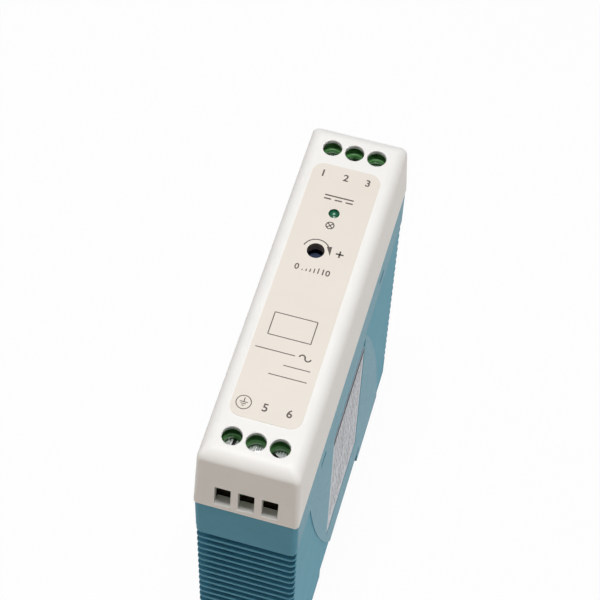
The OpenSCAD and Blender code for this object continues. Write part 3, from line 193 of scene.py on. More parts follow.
def blotches(tree, where, size, detail=2.0, stretch=None):
    """Noise whose blots are about size mm across; stretch draws them out along an axis."""
    noise = tree.nodes.new("ShaderNodeTexNoise")
    noise.inputs["Scale"].default_value = 1 / (size * MM)
    noise.inputs["Detail"].default_value = detail
    if stretch:
        mapping = tree.nodes.new("ShaderNodeMapping")
        mapping.inputs["Scale"].default_value = stretch
        tree.links.new(where, mapping.inputs["Vector"])
        where = mapping.outputs["Vector"]
    tree.links.new(where, noise.inputs["Vector"])
    return noise.outputs["Fac"]


def between(tree, amount, low, high, least=0.3, most=0.7):
    """Spreads least to most, which noise seldom leaves, over the numbers from low to high."""
    spread = tree.nodes.new("ShaderNodeMapRange")
    limits = {"From Min": least, "From Max": most, "To Min": low, "To Max": high}
    for socket, value in limits.items():
        spread.inputs[socket].default_value = value
    tree.links.new(amount, spread.inputs["Value"])
    return spread.outputs["Result"]


def tints(tree, amount, first, second):
    """A colour that goes from first to second with the noise.

    In a colour Mix node socket 0 is the factor, 6 and 7 are the colours, and output 2 is the mix.
    """
    mix = tree.nodes.new("ShaderNodeMix")
    mix.data_type = "RGBA"
    mix.inputs[6].default_value = (*first, 1)
    mix.inputs[7].default_value = (*second, 1)
    tree.links.new(between(tree, amount, 0, 1), mix.inputs[0])
    return mix.outputs[2]


def grain(tree, amount, depth):
    """A bump of that depth in mm; goes into a shader's Normal."""
    bump = tree.nodes.new("ShaderNodeBump")
    bump.inputs["Strength"].default_value = 1
    bump.inputs["Distance"].default_value = depth * MM
    tree.links.new(amount, bump.inputs["Height"])
    return bump.outputs["Normal"]


def surface(name, first, second, rough, blot=12, pit=0.4, depth=0.004,
            metal=0.0, coat=0.0, stretch=None, gloss=0.5):
    """A finish between two tints, with roughness from rough[0] to rough[1] and a set gloss.

    The tints change over blot mm. The grain has pits pit mm across and depth mm deep.
    """
    mat, tree, shader, where = new_finish(name)
    tint = tints(tree, blotches(tree, where, blot, 3), first, second)
    fine = blotches(tree, where, pit, 3, stretch)
    tree.links.new(tint, shader.inputs["Base Color"])
    tree.links.new(between(tree, fine, *rough), shader.inputs["Roughness"])
    tree.links.new(grain(tree, fine, depth), shader.inputs["Normal"])
    shader.inputs["Metallic"].default_value = metal
    shader.inputs["Specular IOR Level"].default_value = gloss
    if coat:
        shader.inputs["Coat Weight"].default_value = coat
        shader.inputs["Coat Roughness"].default_value = 0.12
    return mat


# %% Plastics and films
teal_grained = surface("teal_grained", (0.086, 0.305, 0.43), (0.096, 0.33, 0.46), (0.55, 0.72),
                       pit=0.35, depth=0.01, gloss=0.2)
# Painted light: the ends' teal made a little lighter for the lowered side fields, as light falling
# on the sides.
teal_field_painted_lighter = surface("teal_field_painted_lighter", (0.088, 0.335, 0.45), (0.098, 0.362, 0.483), (0.6, 0.75),
                     pit=0.3, depth=0.012, gloss=0.5)
teal_smooth = surface("teal_smooth", (0.080, 0.298, 0.398), (0.088, 0.318, 0.422), (0.40, 0.52),
                      pit=0.6, depth=0.003, gloss=0.27)
cover_white = surface("cover_white", (0.89, 0.875, 0.85), (0.91, 0.895, 0.87), (0.38, 0.5), pit=0.5,
                      depth=0.003, gloss=0.3)
film_cream = surface("film_cream", (0.79, 0.73, 0.655), (0.81, 0.75, 0.675), (0.42, 0.54), blot=9,
                     pit=0.25, depth=0.002)
print_ink = surface("print_ink", (0.075, 0.06, 0.052), (0.09, 0.072, 0.062), (0.5, 0.62), blot=3,
                    pit=0.2, depth=0.001)
terminal_green = surface("terminal_green", (0.085, 0.29, 0.075), (0.095, 0.32, 0.085), (0.3, 0.42),
                         blot=6, pit=0.4)
foot_black = surface("foot_black", (0.022, 0.024, 0.026), (0.032, 0.034, 0.036), (0.42, 0.58),
                     pit=0.3, depth=0.008)
bush_dark = surface("bush_dark", (0.22, 0.18, 0.165), (0.26, 0.21, 0.19), (0.4, 0.55), blot=2,
                    pit=0.2)
trimmer_blue = surface("trimmer_blue", (0.012, 0.04, 0.11), (0.016, 0.05, 0.14), (0.3, 0.45),
                       blot=3, pit=0.25)
rotor_blue = surface("rotor_blue", (0.006, 0.019, 0.05), (0.008, 0.024, 0.062), (0.35, 0.5), blot=2,
                     pit=0.2)
spacer_white = surface("spacer_white", (0.62, 0.62, 0.6), (0.7, 0.7, 0.68), (0.4, 0.55), blot=2,
                       pit=0.2)
moulded_black = surface("moulded_black", (0.012, 0.012, 0.013), (0.022, 0.022, 0.024), (0.45, 0.65),
                        blot=3, pit=0.15, depth=0.006)
print("plastics and films mixed")

# %% Metals and inner parts
zinc = surface("zinc", (0.62, 0.63, 0.64), (0.80, 0.81, 0.82), (0.16, 0.36), blot=0.9, pit=0.22,
               depth=0.003, metal=1, stretch=(1, 0.12, 1))
# Painted shade: near black for the faces inside the screw slots, as the shade in a slot.
slot_painted_shade = surface("slot_painted_shade", (0.03, 0.03, 0.03), (0.06, 0.06, 0.058), (0.45, 0.65), blot=0.5,
                    pit=0.15, metal=0.4)
plated_steel = surface("plated_steel", (0.58, 0.58, 0.57), (0.68, 0.68, 0.66), (0.25, 0.4),
                       blot=1.5, pit=0.2, metal=1)
tinned = surface("tinned", (0.66, 0.65, 0.62), (0.76, 0.75, 0.71), (0.24, 0.44), blot=1, pit=0.2,
                 metal=1)
spring_steel = surface("spring_steel", (0.55, 0.55, 0.56), (0.66, 0.66, 0.67), (0.2, 0.35),
                       blot=0.6, pit=0.1, metal=1)
drawn_aluminium = surface("drawn_aluminium", (0.70, 0.71, 0.72), (0.78, 0.79, 0.80), (0.28, 0.5),
                          blot=4, pit=0.25, metal=1, stretch=(1, 1, 0.06))
enamelled_copper = surface("enamelled_copper", (0.50, 0.19, 0.06), (0.62, 0.26, 0.09), (0.2, 0.34),
                           blot=0.8, pit=0.2, metal=0.85, coat=0.6)
ferrite = surface("ferrite", (0.035, 0.035, 0.037), (0.06, 0.06, 0.062), (0.55, 0.75), blot=2,
                  pit=0.2, depth=0.012)
board_laminate = surface("board_laminate", (0.03, 0.018, 0.011), (0.045, 0.027, 0.016), (0.45, 0.6),
                         blot=5, pit=0.4, gloss=0.3)
main_laminate = surface("main_laminate", (0.34, 0.24, 0.10), (0.42, 0.31, 0.14), (0.4, 0.6), blot=4,
                        pit=0.3)
sleeve_black = surface("sleeve_black", (0.015, 0.016, 0.02), (0.03, 0.03, 0.035), (0.25, 0.4),
                       blot=4, pit=0.5)
sleeve_green = surface("sleeve_green", (0.02, 0.10, 0.075), (0.03, 0.14, 0.10), (0.25, 0.4), blot=4,
                       pit=0.5)
disc_blue = surface("disc_blue", (0.02, 0.12, 0.42), (0.03, 0.16, 0.50), (0.3, 0.5), blot=2,
                    pit=0.3, depth=0.01)
disc_dark_green = surface("disc_dark_green", (0.03, 0.07, 0.04), (0.05, 0.10, 0.06), (0.45, 0.65),
                          blot=2, pit=0.3, depth=0.01)
box_yellow = surface("box_yellow", (0.72, 0.48, 0.05), (0.80, 0.56, 0.08), (0.35, 0.5), blot=3,
                     pit=0.3)
tape_yellow = surface("tape_yellow", (0.78, 0.60, 0.10), (0.84, 0.66, 0.14), (0.25, 0.4), blot=3,
                      pit=0.4, coat=0.3)
resistor_body = surface("resistor_body", (0.30, 0.42, 0.46), (0.36, 0.50, 0.54), (0.3, 0.45),
                        blot=1, pit=0.2)
barrier_sheet = surface("barrier_sheet", (0.80, 0.79, 0.74), (0.85, 0.84, 0.80), (0.35, 0.5),
                        blot=8, pit=0.5)
print("metals and inner finishes mixed")

# %% [markdown]
# ## Softening the moulded shells
# Moulded and turned pieces never have knife edges, and it is the small round along each edge that
# catches the light. A CAD node arrives as loose triangles, so a copy is welded, its flat faces are
# joined again, and the outer edges that turn sharply get a bevel. Inner corners stay sharp, because
# there the bevels of short edges fold over each other. The same could be done with a Bevel
# modifier, but the operator lets one shell take several widths. A Weighted Normal modifier keeps
# the large flat faces flat in the shading and lets only the bevels look round.

# %% Helpers for pieces
same_point, still_flat = 0.0005 * MM, radians(0.4)


def welded(node):
    """A copy of a CAD node's triangles, merged, with its flat faces joined again."""
    shape = bmesh.new()
    shape.from_mesh(nodes[node].data)
    bmesh.ops.remove_doubles(shape, verts=shape.verts, dist=same_point)
    bmesh.ops.dissolve_limit(shape, angle_limit=still_flat, verts=shape.verts, edges=shape.edges)
    return shape


def round_edges(shape, width, steps=2, chosen=None, turn=35):
    """Bevels the outer edges that turn by more than turn degrees, or those that chosen picks."""
    sharp = [e for e in shape.edges if len(e.link_faces) == 2 and e.is_convex
             and e.calc_face_angle() > radians(turn) and (chosen is None or chosen(e))]
    if sharp:
        bmesh.ops.bevel(shape, geom=sharp, offset=width * MM, offset_type="OFFSET", affect="EDGES",
                        segments=steps, profile=0.5, material=-1, clamp_overlap=False)
        bmesh.ops.dissolve_degenerate(shape, dist=same_point, edges=shape.edges)
    return len(sharp)


def finished(shape, name, finish, body, *stands_for, slot=None, facets=40):
    """Makes the bmesh a piece of that name, in its finish, that rides on a body."""
    mesh = bpy.data.meshes.new(name)
    shape.to_mesh(mesh)
    shape.free()
    mesh.shade_smooth()
    mesh.set_sharp_from_angle(angle=radians(facets))
    for mat in finish if isinstance(finish, (list, tuple)) else [finish]:
        mesh.materials.append(mat)
    piece = bpy.data.objects.new(name, mesh)
    scene.collection.objects.link(piece)
    even = piece.modifiers.new("even_shading", "WEIGHTED_NORMAL")
    even.keep_sharp = True
    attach(piece, body)
    if stands_for:
        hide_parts(*stands_for)
    return piece


# %% [markdown]
# ## The case
# The tub is one moulding with ribbed ends. Its sides are lowered by a quarter of a millimetre on
# both sides of a curved band, and the lowered fields carry a coarser mould grain than the smooth
# band, so they look duller. Their teal is painted a little lighter than the same plastic on the
# ends, as painted light on the sides. The rib crests are rounder than the other edges.
# The faces of the copy take one of three finishes, by where they face and how far out they lie.

# %% Case
ribs_from, ribs_low, ribs_high = 43.0 * MM, 2 * MM, 70.5 * MM
sideways, skin = 0.9, 0.1 * MM


def on_rib(edge):
    """True for an edge on the ribbed part of either end."""
    return all(abs(v.co.y) > ribs_from and ribs_low < v.co.z < ribs_high for v in edge.verts)


case_finishes = [teal_grained, teal_field_painted_lighter, teal_smooth]
case_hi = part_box("case")[1]
case_shape = welded("case")
rib_edges = round_edges(case_shape, 0.15, 3, on_rib)
other_edges = round_edges(case_shape, 0.12, 2)
for face in case_shape.faces:
    outermost = abs(face.calc_center_median().x) > case_hi[0] - skin
    # Side faces of the lowered fields take the teal that is painted lighter, as painted light.
    if abs(face.normal.x) > sideways:
        face.material_index = case_finishes.index(teal_smooth if outermost else teal_field_painted_lighter)
finished(case_shape, "case_shell", case_finishes, "supply", "case", slot="case")
print("case:", rib_edges, "rib edges and", other_edges, "others rounded")

# %% [markdown]
# ## The front cover
# The cover is a deep white cap with leaning walls, screw holes and wire slots. Its front edges are
# round already in the CAD model, so only the rims of the openings and the lower edge are left to
# soften. The rims on the front are a little rounder, as they lead the screwdriver in.

# %% Cover
front_from = 99.6 * MM


def on_front(edge):
    """True for an edge on the front face, such as the rim of an opening."""
    return all(v.co.z > front_from for v in edge.verts)


cover_shape = welded("front_cover")
rims = round_edges(cover_shape, 0.22, 3, on_front)
others = round_edges(cover_shape, 0.14, 2)
finished(cover_shape, "cover_shell", cover_white, "supply", "front_cover", slot="cover")
print("cover:", rims, "front rims and", others, "others rounded")

# %% [markdown]
# ## Terminals
# Each end has a green housing under the cover, with a screw head at the bottom of every hole. A lip
# over each head keeps the screw in. Its lead-in round shows as a bright green crescent, with the
# dark pocket below it. Heads are short slotted cylinders, zinc plated, with the inside of each
# slot painted near black as shade.
# The shafts are drawn a little slimmer than in the CAD model and the threaded holes keep their
# sharp rims, so that a screw and its cage stay clear of each other while they move.

# %% Terminal housings
screw_y, pole_pitch, bore_r, slack = 37.4, 5.0, 1.95, 0.05
housing_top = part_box("output_housing")[1][2]


def at_a_hole(point):
    """True for a point no farther from the nearest screw's axis than the hole's wall."""
    x, y = point.x / MM, abs(point.y) / MM - screw_y
    nearest = min(Vector((x - k * pole_pitch, y)).length for k in (-1, 0, 1))
    return nearest < bore_r + slack


def on_bore_rim(edge):
    """True for the upper rim of a screw hole in a housing."""
    return all(v.co.z > housing_top - slack * MM and at_a_hole(v.co) for v in edge.verts)


for end in ("output", "input"):
    housing_shape = welded(f"{end}_housing")
    lead_ins = round_edges(housing_shape, 0.5, 5, on_bore_rim)
    round_edges(housing_shape, 0.07, 2)
    finished(housing_shape, f"{end}_terminal_block", terminal_green, "supply", f"{end}_housing",
             slot="housing")
    print(end, "housing:", lead_ins, "lead-in edges")

# %% Screws and cages
head_height, slimmer = 1.6, 0.96
slot_top, slot_floor, slot_reach = 0.1, 1.2, 1.3


def soft_screw(node, name):
    """A screw with its slot painted dark as shade and a slimmer shaft; gives back the place of its
    axis.
    """
    low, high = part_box(node)
    axis = Vector(((low[0] + high[0]) / 2, (low[1] + high[1]) / 2))
    screw_shape = welded(node)
    for face in screw_shape.faces:
        middle = face.calc_center_median()
        # Faces inside the slot take the painted shade.
        in_slot = (slot_top < (high[2] - middle.z) / MM < slot_floor
                   and (middle.xy - axis).length < slot_reach * MM)
        face.material_index = 1 if in_slot else 0
    for vert in screw_shape.verts:
        if vert.co.z < high[2] - head_height * MM:
            vert.co.xy = axis + (vert.co.xy - axis) * slimmer
    round_edges(screw_shape, 0.12, 3)
    finished(screw_shape, name, [zinc, slot_painted_shade], node, node, slot="screw")
    return axis


def soft_cage(node, name, axis, thread_room=1.7):
    """A cage, rounded everywhere but at its threaded hole."""
    def off_thread(edge):
        return all((v.co.xy - axis).length > thread_room * MM for v in edge.verts)
    cage_shape = welded(node)
    round_edges(cage_shape, 0.08, 2, off_thread)
    finished(cage_shape, name, plated_steel, node, node, slot="steel")


for end in ("output", "input"):
    for pole in (1, 2, 3):
        screw_axis = soft_screw(f"{end}_screw_{pole}", f"{end}_clamp_screw_{pole}")
        soft_cage(f"{end}_cage_{pole}", f"{end}_clamp_cage_{pole}", screw_axis)
print("six screws and six cages softened")

# %% [markdown]
# ## Lamp and trimmer
# The lamp is a small dome of tinted epoxy behind a round opening in the film. It is turned from a
# profile with spin, because a dome on a shank with a collar is a lathe shape. The pale spot in its
# middle is a painted highlight, a tint that fades with the distance from the lamp's axis. Next to
# it a dark bush leads the screwdriver to the trimmer, a blue box with a slotted rotor.

# %% Lamp
def turned(profile, centre, steps=40):
    """Spins a profile of (radius, height) in mm round an upright axis at centre."""
    shape = bmesh.new()
    points = [shape.verts.new((centre[0] + r * MM, centre[1], z * MM)) for r, z in profile]
    line = [shape.edges.new(pair) for pair in zip(points, points[1:])]
    bmesh.ops.spin(shape, geom=points + line, cent=(*centre[:2], 0), axis=(0, 0, 1), angle=2 * pi,
                   steps=steps, use_merge=True)
    bmesh.ops.remove_doubles(shape, verts=shape.verts, dist=0.001 * MM)
    bmesh.ops.recalc_face_normals(shape, faces=shape.faces)
    return shape


lamp_lo, lamp_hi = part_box("lamp")
lamp_axis = ((lamp_lo[0] + lamp_hi[0]) / 2, (lamp_lo[1] + lamp_hi[1]) / 2)
collar_r, shank_r, crown_r = (lamp_hi[0] - lamp_lo[0]) / 2 / MM, 1.45, 2.4
collar_height, blunt, shoulder = 0.9, 0.1, 0.15
foot_z, tip_z = lamp_lo[2] / MM, lamp_hi[2] / MM
collar_z = foot_z + collar_height
bow = [0.06 * step for step in range(11)]
crown = [(crown_r * sin(t), tip_z - crown_r * (1 - cos(t))) for t in bow]
lens_profile = crown + [
    (shank_r, crown[-1][1] - shoulder), (shank_r, collar_z), (collar_r - blunt, collar_z),
    (collar_r, collar_z - blunt), (collar_r, foot_z + blunt), (collar_r - blunt, foot_z),
    (0, foot_z)]
print("lamp: lens", 2 * shank_r, "mm across, collar", round(2 * collar_r, 2))

# %% Lens
# Radii of the painted highlight: full inside the first, gone beyond the second.
highlight_core_r, highlight_fade_r = 0.12 * MM, 0.34 * MM
lens_green, tree, shader, where = new_finish("lens_green")
centred = tree.nodes.new("ShaderNodeMapping")
centred.inputs["Location"].default_value = (-lamp_axis[0], -lamp_axis[1], 0)
centred.inputs["Scale"].default_value = (1, 1, 0)
from_axis = tree.nodes.new("ShaderNodeVectorMath")
from_axis.operation = "LENGTH"
# Painted highlight: a pale tint in the lens's middle that fades out with the distance from its axis.
painted_highlight = between(tree, from_axis.outputs["Value"], 1, 0, highlight_core_r, highlight_fade_r)
lit = tree.nodes.new("ShaderNodeMix")
lit.data_type = "RGBA"
lit.inputs[7].default_value = (0.36, 0.66, 0.46, 1)
epoxy = blotches(tree, where, 1.2, 3)
tree.links.new(where, centred.inputs["Vector"])
tree.links.new(centred.outputs["Vector"], from_axis.inputs[0])
tree.links.new(painted_highlight, lit.inputs[0])
tree.links.new(tints(tree, epoxy, (0.004, 0.085, 0.04), (0.006, 0.115, 0.055)), lit.inputs[6])
tree.links.new(lit.outputs[2], shader.inputs["Base Color"])
tree.links.new(between(tree, epoxy, 0.1, 0.18), shader.inputs["Roughness"])
shader.inputs["Specular IOR Level"].default_value = 0.25
lens = finished(turned(lens_profile, lamp_axis), "lamp_lens", lens_green, "supply", "lamp",
                slot="lens")
print("lens turned:", len(lens.data.polygons), "faces")

# %% Trimmer
for node, name, finish, body, width, slot in (
        ("trimmer_bush", "screwdriver_bush", bush_dark, "supply", 0.1, "bush"),
        ("trimmer_body", "trimmer_box", trimmer_blue, "supply", 0.25, "trimmer"),
        ("trimmer_rotor", "trimmer_dial", rotor_blue, "trimmer_rotor", 0.1, "rotor")):
    trim_shape = welded(node)
    round_edges(trim_shape, width, 3)
    finished(trim_shape, name, finish, body, node, slot=slot)
print("trimmer softened")

# %% [markdown]
# ## The film label and its print
# A cream film covers most of the front face, with openings for the lamp and the trimmer. The copy
# of the CAD film is made a hair thinner, so that the print on it still lies inside the object's box.
# The print is plain signs and numbers only. It could be painted with a texture, but thin raised
# meshes stay sharp at every distance and come out of the export unchanged. Places, sizes and stroke
# widths of the signs are in millimetres on the front face.

# %% Film
thinning = 0.88
film_lo, film_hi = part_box("front_label")
film_shape = welded("front_label")
thinner = Matrix.Scale(thinning, 4, (0, 0, 1))
bmesh.ops.transform(film_shape, matrix=Matrix.Translation((0, 0, film_lo[2])) @ thinner
                    @ Matrix.Translation((0, 0, -film_lo[2])), verts=film_shape.verts)
film_top = film_lo[2] + thinning * (film_hi[2] - film_lo[2])
finished(film_shape, "front_film", film_cream, "supply", "front_label", slot="film")
print("film top at", round(film_top / MM, 4), "mm")

# %% Strokes and arcs
ink = bmesh.new()
sunk, proud = 0.002 * MM, 0.006 * MM
ink_low, ink_high = film_top - sunk, film_top + proud


def ink_bar(x1, y1, x2, y2, width, into=ink):
    """A straight stroke from one point to another, in mm."""
    start, end = Vector((x1, y1, 0)) * MM, Vector((x2, y2, 0)) * MM
    along = end - start
    turn = Matrix.Rotation(along.to_2d().angle_signed(Vector((1, 0))), 3, "Z")
    middle = (start + end) / 2 + Vector((0, 0, (ink_low + ink_high) / 2))
    made = bmesh.ops.create_cube(into, size=1)["verts"]
    bmesh.ops.scale(into, vec=(along.length, width * MM, ink_high - ink_low), verts=made)
    bmesh.ops.rotate(into, matrix=turn, verts=made)
    bmesh.ops.translate(into, vec=middle, verts=made)


def ink_arc(x, y, radius, first, sweep, width):
    """An arc of a stroke round (x, y), in mm and degrees; a sweep of 360 makes a ring."""
    half_diagonal = 0.5 ** 0.5
    made = bmesh.ops.create_circle(ink, segments=4, radius=half_diagonal,
                                   cap_ends=sweep < 360)["verts"]
    bmesh.ops.rotate(ink, matrix=Matrix.Rotation(pi / 4, 3, "Z"), verts=made)
    bmesh.ops.scale(ink, vec=(width * MM, ink_high - ink_low, 1), verts=made)
    bmesh.ops.rotate(ink, matrix=Matrix.Rotation(pi / 2, 3, "X"), verts=made)
    bmesh.ops.translate(ink, vec=(radius * MM, 0, (ink_low + ink_high) / 2), verts=made)
    bmesh.ops.rotate(ink, matrix=Matrix.Rotation(radians(first), 3, "Z"), verts=made)
    bmesh.ops.translate(ink, vec=(x * MM, y * MM, 0), verts=made)
    edges = list({e for v in made for e in v.link_edges})
    faces = list({f for v in made for f in v.link_faces})
    bmesh.ops.spin(ink, geom=made + edges + faces, cent=(x * MM, y * MM, 0), axis=(0, 0, 1),
                   angle=radians(sweep), steps=max(6, round(sweep / 9)), use_merge=sweep >= 360)


# %% Arrowheads and figures
def raise_faces(shape, faces):
    """Gives flat faces the thickness of the print."""
    raised = bmesh.ops.extrude_face_region(shape, geom=faces)["geom"]
    bmesh.ops.translate(shape, vec=(0, 0, ink_high - ink_low),
                        verts=[v for v in raised if isinstance(v, bmesh.types.BMVert)])


def ink_head(*corners):
    """A filled arrowhead between its corners, in mm."""
    flat = ink.faces.new([ink.verts.new((x * MM, y * MM, ink_low)) for x, y in corners])
    raise_faces(ink, [flat])


def ink_figure(text, x, y, height, weight=0.02):
    """A number in the plain built-in typeface, centred on (x, y), in mm."""
    letters = bpy.data.curves.new("figure", "FONT")
    letters.body = text
    letters.offset = weight
    letters.resolution_u = 5
    holder = bpy.data.objects.new("figure", letters)
    scene.collection.objects.link(holder)
    seen = holder.evaluated_get(bpy.context.evaluated_depsgraph_get())
    flat = bpy.data.meshes.new_from_object(seen)
    bpy.data.objects.remove(holder)
    low = Vector((min(v.co.x for v in flat.vertices), min(v.co.y for v in flat.vertices), 0))
    high = Vector((max(v.co.x for v in flat.vertices), max(v.co.y for v in flat.vertices), 0))
    size = height * MM / (high.y - low.y)
    flat.transform(Matrix.Translation((x * MM, y * MM, ink_low)) @ Matrix.Scale(size, 4)
                   @ Matrix.Translation(-(low + high) / 2))
    sheet = bmesh.new()
    sheet.from_mesh(flat)
    bmesh.ops.remove_doubles(sheet, verts=sheet.verts, dist=0.0001 * MM)
    bmesh.ops.recalc_face_normals(sheet, faces=sheet.faces)
    raise_faces(sheet, sheet.faces[:])
    bmesh.ops.recalc_face_normals(sheet, faces=sheet.faces)
    sheet.to_mesh(flat)
    sheet.free()
    ink.from_mesh(flat)
    bpy.data.meshes.remove(flat)


# %% Signs at the output end
for pole, x in enumerate((-5.1, 0, 4.9), 1):
    ink_figure(str(pole), x, 30.2, 1.8)
ink_bar(-3.2, 24.75, 3.2, 24.75, 0.34)
for x in (-2.4, 0, 2.4):
    ink_bar(x - 0.8, 23.85, x + 0.8, 23.85, 0.34)
ink_arc(0, 17.15, 0.85, 0, 360, 0.26)
for slope in (-1, 1):
    ink_bar(-0.6, 17.15 - slope * 0.6, 0.6, 17.15 + slope * 0.6, 0.24)
print("output signs:", len(ink.faces), "faces")

# %% Signs round the trimmer
dial = (-1.15, 10.05)
ink_arc(*dial, 2.9, 36, 129, 0.26)
ink_head((2.05, 9.55), (1.95, 11.95), (0.85, 11.65))
ink_bar(3.12, 10.5, 4.82, 10.5, 0.38)
ink_bar(3.97, 9.65, 3.97, 11.35, 0.38)
ink_figure("0", -3.9, 5.15, 1.5)
ink_figure("10", 2.5, 5.15, 1.5)
for step in range(5):
    ink_bar(-2.6 + step * 0.85, 4.45, -2.6 + step * 0.85, 4.75 + step * 0.28, 0.24)
print("trimmer signs:", len(ink.faces), "faces")

# %% Signs at the input end
for row, start in ((-18.95, 0.2), (-21.65, -2.2)):
    ink_bar(start, row, 5.9, row, 0.22)
for side, first in ((-0.61, 0), (0.61, 180)):
    ink_arc(4.0 + side, -16.15, 0.62, first, 180, 0.32)
ink_bar(-6.6, -16.15, 1.9, -16.15, 0.22)
ink_arc(-5.0, -29.5, 1.55, 0, 360, 0.2)
ink_bar(-5.0, -28.4, -5.0, -29.35, 0.2)
for drop, half in ((0, 0.85), (0.42, 0.55), (0.84, 0.25)):
    ink_bar(-5.0 - half, -29.4 - drop, -5.0 + half, -29.4 - drop, 0.2)
for pole, x in ((5, -0.5), (6, 4.6)):
    ink_figure(str(pole), x, -29.5, 1.9)
field = ((-5, -7.1), (4.2, -7.1), (4.2, -12.6), (-5, -12.6))
for corner, following in zip(field, field[1:] + field[:1]):
    ink_bar(*corner, *following, 0.22)
bmesh.ops.recalc_face_normals(ink, faces=ink.faces)
print("print:", len(ink.faces), "faces in all")
finished(ink, "front_print", print_ink, "supply", slot="film")

# %% [markdown]
# ## The silver label
# A brushed silver film lies in a pocket on the right side. Brushed film is drawn out noise: the
# same noise as elsewhere, squeezed along one axis by a Mapping node. A label like this is a printed
# table, so it gets rules and rows of short grey bars, with no words. A dark bar along the edge
# nearest the front is a painted shadow of the pocket's front rim. The print is laid out flat with
# the same helpers as the front's and then turned up onto the side.

# %% Silver label
silver_film, tree, shader, where = new_finish("silver_film")
streak = blotches(tree, where, 0.5, 3, (1, 0.04, 1))
cloud = blotches(tree, where, 5, 3)
silver = tints(tree, cloud, (0.40, 0.42, 0.46), (0.50, 0.52, 0.56))
tree.links.new(silver, shader.inputs["Base Color"])
tree.links.new(between(tree, streak, 0.3, 0.55), shader.inputs["Roughness"])
tree.links.new(grain(tree, streak, 0.003), shader.inputs["Normal"])
shader.inputs["Metallic"].default_value = 0.6
plate_lo, plate_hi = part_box("rating_label")
plate_shape = welded("rating_label")
round_edges(plate_shape, 0.03, 2)
finished(plate_shape, "side_label", silver_film, "supply", "rating_label", slot="silver_film")
print("silver label", [round((b - a) / MM, 2) for a, b in zip(plate_lo, plate_hi)], "mm")

# %% Table on the silver label
margin, rule, indent, divider_gap = 1.6, 0.22, 1.0, 0.5
rows, first_row, row_step = 12, 1.25, 1.85
bar_height, bar_gap, bar_indent, end_room = 0.6, 0.7, 1.8, 4.5
shortest, longer_by, lengths = 1.2, 0.55, 5
across = (plate_hi[2] - plate_lo[2]) / MM / 2 - margin
tall = (plate_hi[1] - plate_lo[1]) / MM / 2 - margin
divider = 0.1 * across
table = bmesh.new()
for y in (-tall, -0.3 * tall, 0.45 * tall, tall):
    ink_bar(-across + indent, y, across, y, rule, table)
for x in (divider, across):
    ink_bar(x, -tall, x, tall, rule, table)
places = drawn = 0
for row in range(rows):
    x, y = -across + bar_indent, tall - first_row - row * row_step
    while x < across - end_room:
        # a fixed mix of lengths, as in lines of words
        length = shortest + longer_by * ((places * 7 + row * 3) % lengths)
        if abs(x - divider + length / 2) > length / 2 + divider_gap:
            ink_bar(x, y, x + length, y, bar_height, table)
            drawn += 1
        x += length + bar_gap
        places += 1
print("table with", drawn, "bars")

# %% Painted shadow bar, and the print turned up
# The dark bar is a painted shadow: the shade that the pocket's front rim casts on the label.
bar_wide, bar_shift, bar_over = 2.4, 0.3, 1.3
painted_shadow_bar = bmesh.new()
bar_x, bar_end = -across - bar_shift, tall + bar_over
ink_bar(bar_x, -bar_end, bar_x, bar_end, bar_wide, painted_shadow_bar)
middle_y, middle_z = (plate_lo[1] + plate_hi[1]) / 2, (plate_lo[2] + plate_hi[2]) / 2
upright = Matrix(((0, 0, 1, plate_hi[0] - ink_low - sunk), (0, 1, 0, middle_y),
                  (-1, 0, 0, middle_z), (0, 0, 0, 1)))
for print_shape in (table, painted_shadow_bar):
    bmesh.ops.transform(print_shape, matrix=upright, verts=print_shape.verts)
    bmesh.ops.recalc_face_normals(print_shape, faces=print_shape.faces)
table_ink = surface("table_ink", (0.13, 0.125, 0.13), (0.17, 0.165, 0.17), (0.45, 0.6), blot=3,
                    pit=0.2, depth=0.001)
finished(table, "side_print", table_ink, "supply", slot="silver_film")
# Painted shadow: a near black ink for the bar along the label's front edge.
painted_shadow_ink = surface("painted_shadow_ink", (0.03, 0.034, 0.036), (0.04, 0.045, 0.047), (0.6, 0.75), blot=3,
                     pit=0.2, depth=0.001, gloss=0.1)
finished(painted_shadow_bar, "side_painted_shadow", painted_shadow_ink, "supply", slot="silver_film")
print("table and dark bar laid on the silver label")

# %% [markdown]
# ## Rail foot and its spring
# The black foot slides in the rear and clips the rail. Its spring is real wire: a circle is spun
# round the coil's axis while it moves along it, which is what spin's dvec does. The first and the
# last curl lie closer, as on a closed spring.

# %% Rail foot
foot_shape = welded("rail_foot")
round_edges(foot_shape, 0.2, 3)
finished(foot_shape, "rail_catch", foot_black, "rail_foot", "rail_foot", slot="foot")
print("foot softened")

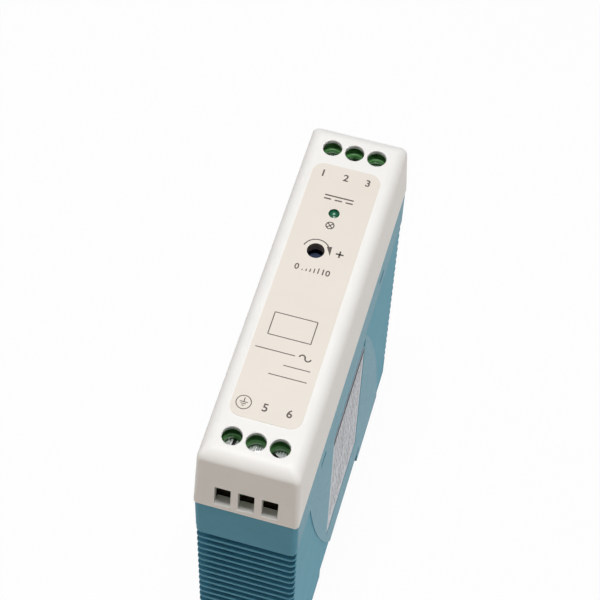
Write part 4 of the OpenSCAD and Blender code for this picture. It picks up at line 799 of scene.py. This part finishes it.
# %% Spring
wire, curls, around = 0.4 * MM, 9, 20
coil_lo, coil_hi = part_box("foot_spring")
coil_axis = Vector(((coil_lo[0] + coil_hi[0]) / 2, 0, (coil_lo[2] + coil_hi[2]) / 2))
coil_r = (coil_hi[0] - coil_lo[0] - wire) / 2
closed = 1.05 * wire
open_rise = (coil_hi[1] - coil_lo[1] - wire - 2 * closed) / (curls - 2)
coil = bmesh.new()
ring = bmesh.ops.create_circle(coil, segments=10, radius=wire / 2, cap_ends=True)["verts"]
bmesh.ops.translate(coil, verts=ring, vec=coil_axis + Vector((coil_r, coil_lo[1] + wire / 2, 0)))
tail = (ring + list({e for v in ring for e in v.link_edges})
        + list({f for v in ring for f in v.link_faces}))
for turns, rise in ((1, closed), (curls - 2, open_rise), (1, closed)):
    tail = bmesh.ops.spin(coil, geom=tail, cent=coil_axis, axis=(0, 1, 0), angle=2 * pi * turns,
                          steps=around * turns, dvec=(0, rise / around, 0))["geom_last"]
bmesh.ops.recalc_face_normals(coil, faces=coil.faces)
spring = finished(coil, "return_spring", spring_steel, "supply", "foot_spring",
                  slot="steel", facets=60)
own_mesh(spring)
print("spring:", curls, "curls,", round((coil_hi[1] - coil_lo[1]) / MM, 2), "mm long")

# %% [markdown]
# ## The parts inside
# The boards and their parts are closed in, but anyone who takes the cover off should find each in
# its own finish. Their CAD shapes are right as they are, so the nodes stay and only get materials.

# %% Finishes for the inner nodes
inner_finishes = (
    (tinned, "output_contacts input_contacts lamp_leads"),
    (board_laminate, "front_board"),
    (main_laminate, "main_board"),
    (moulded_black, "mains_link output_link bridge_rectifier controller_chip optocoupler"),
    (moulded_black, "switching_transistor output_rectifier shunt_regulator status_transistor"),
    (spacer_white, "lamp_spacer"),
    (barrier_sheet, "insulation_sheet fuse"),
    (disc_blue, "varistor safety_capacitor"),
    (disc_dark_green, "inrush_thermistor"),
    (box_yellow, "suppression_capacitor"),
    (ferrite, "choke_core transformer_core inductor_core"),
    (enamelled_copper, "choke_winding_a choke_winding_b inductor_winding"),
    (tape_yellow, "transformer_winding"),
    (foot_black, "transformer_bobbin"),
    (sleeve_black, "bulk_capacitor auxiliary_capacitor"),
    (sleeve_green, "output_capacitors"),
    (drawn_aluminium, "primary_heatsink secondary_heatsink"),
    (resistor_body, "snubber_resistor"),
    (plated_steel, "heatsink_screws"),
)
for finish, names in inner_finishes:
    for name in names.split():
        nodes[name].data.materials.clear()
        nodes[name].data.materials.append(finish)
print(sum(len(names.split()) for _, names in inner_finishes), "inner nodes finished")
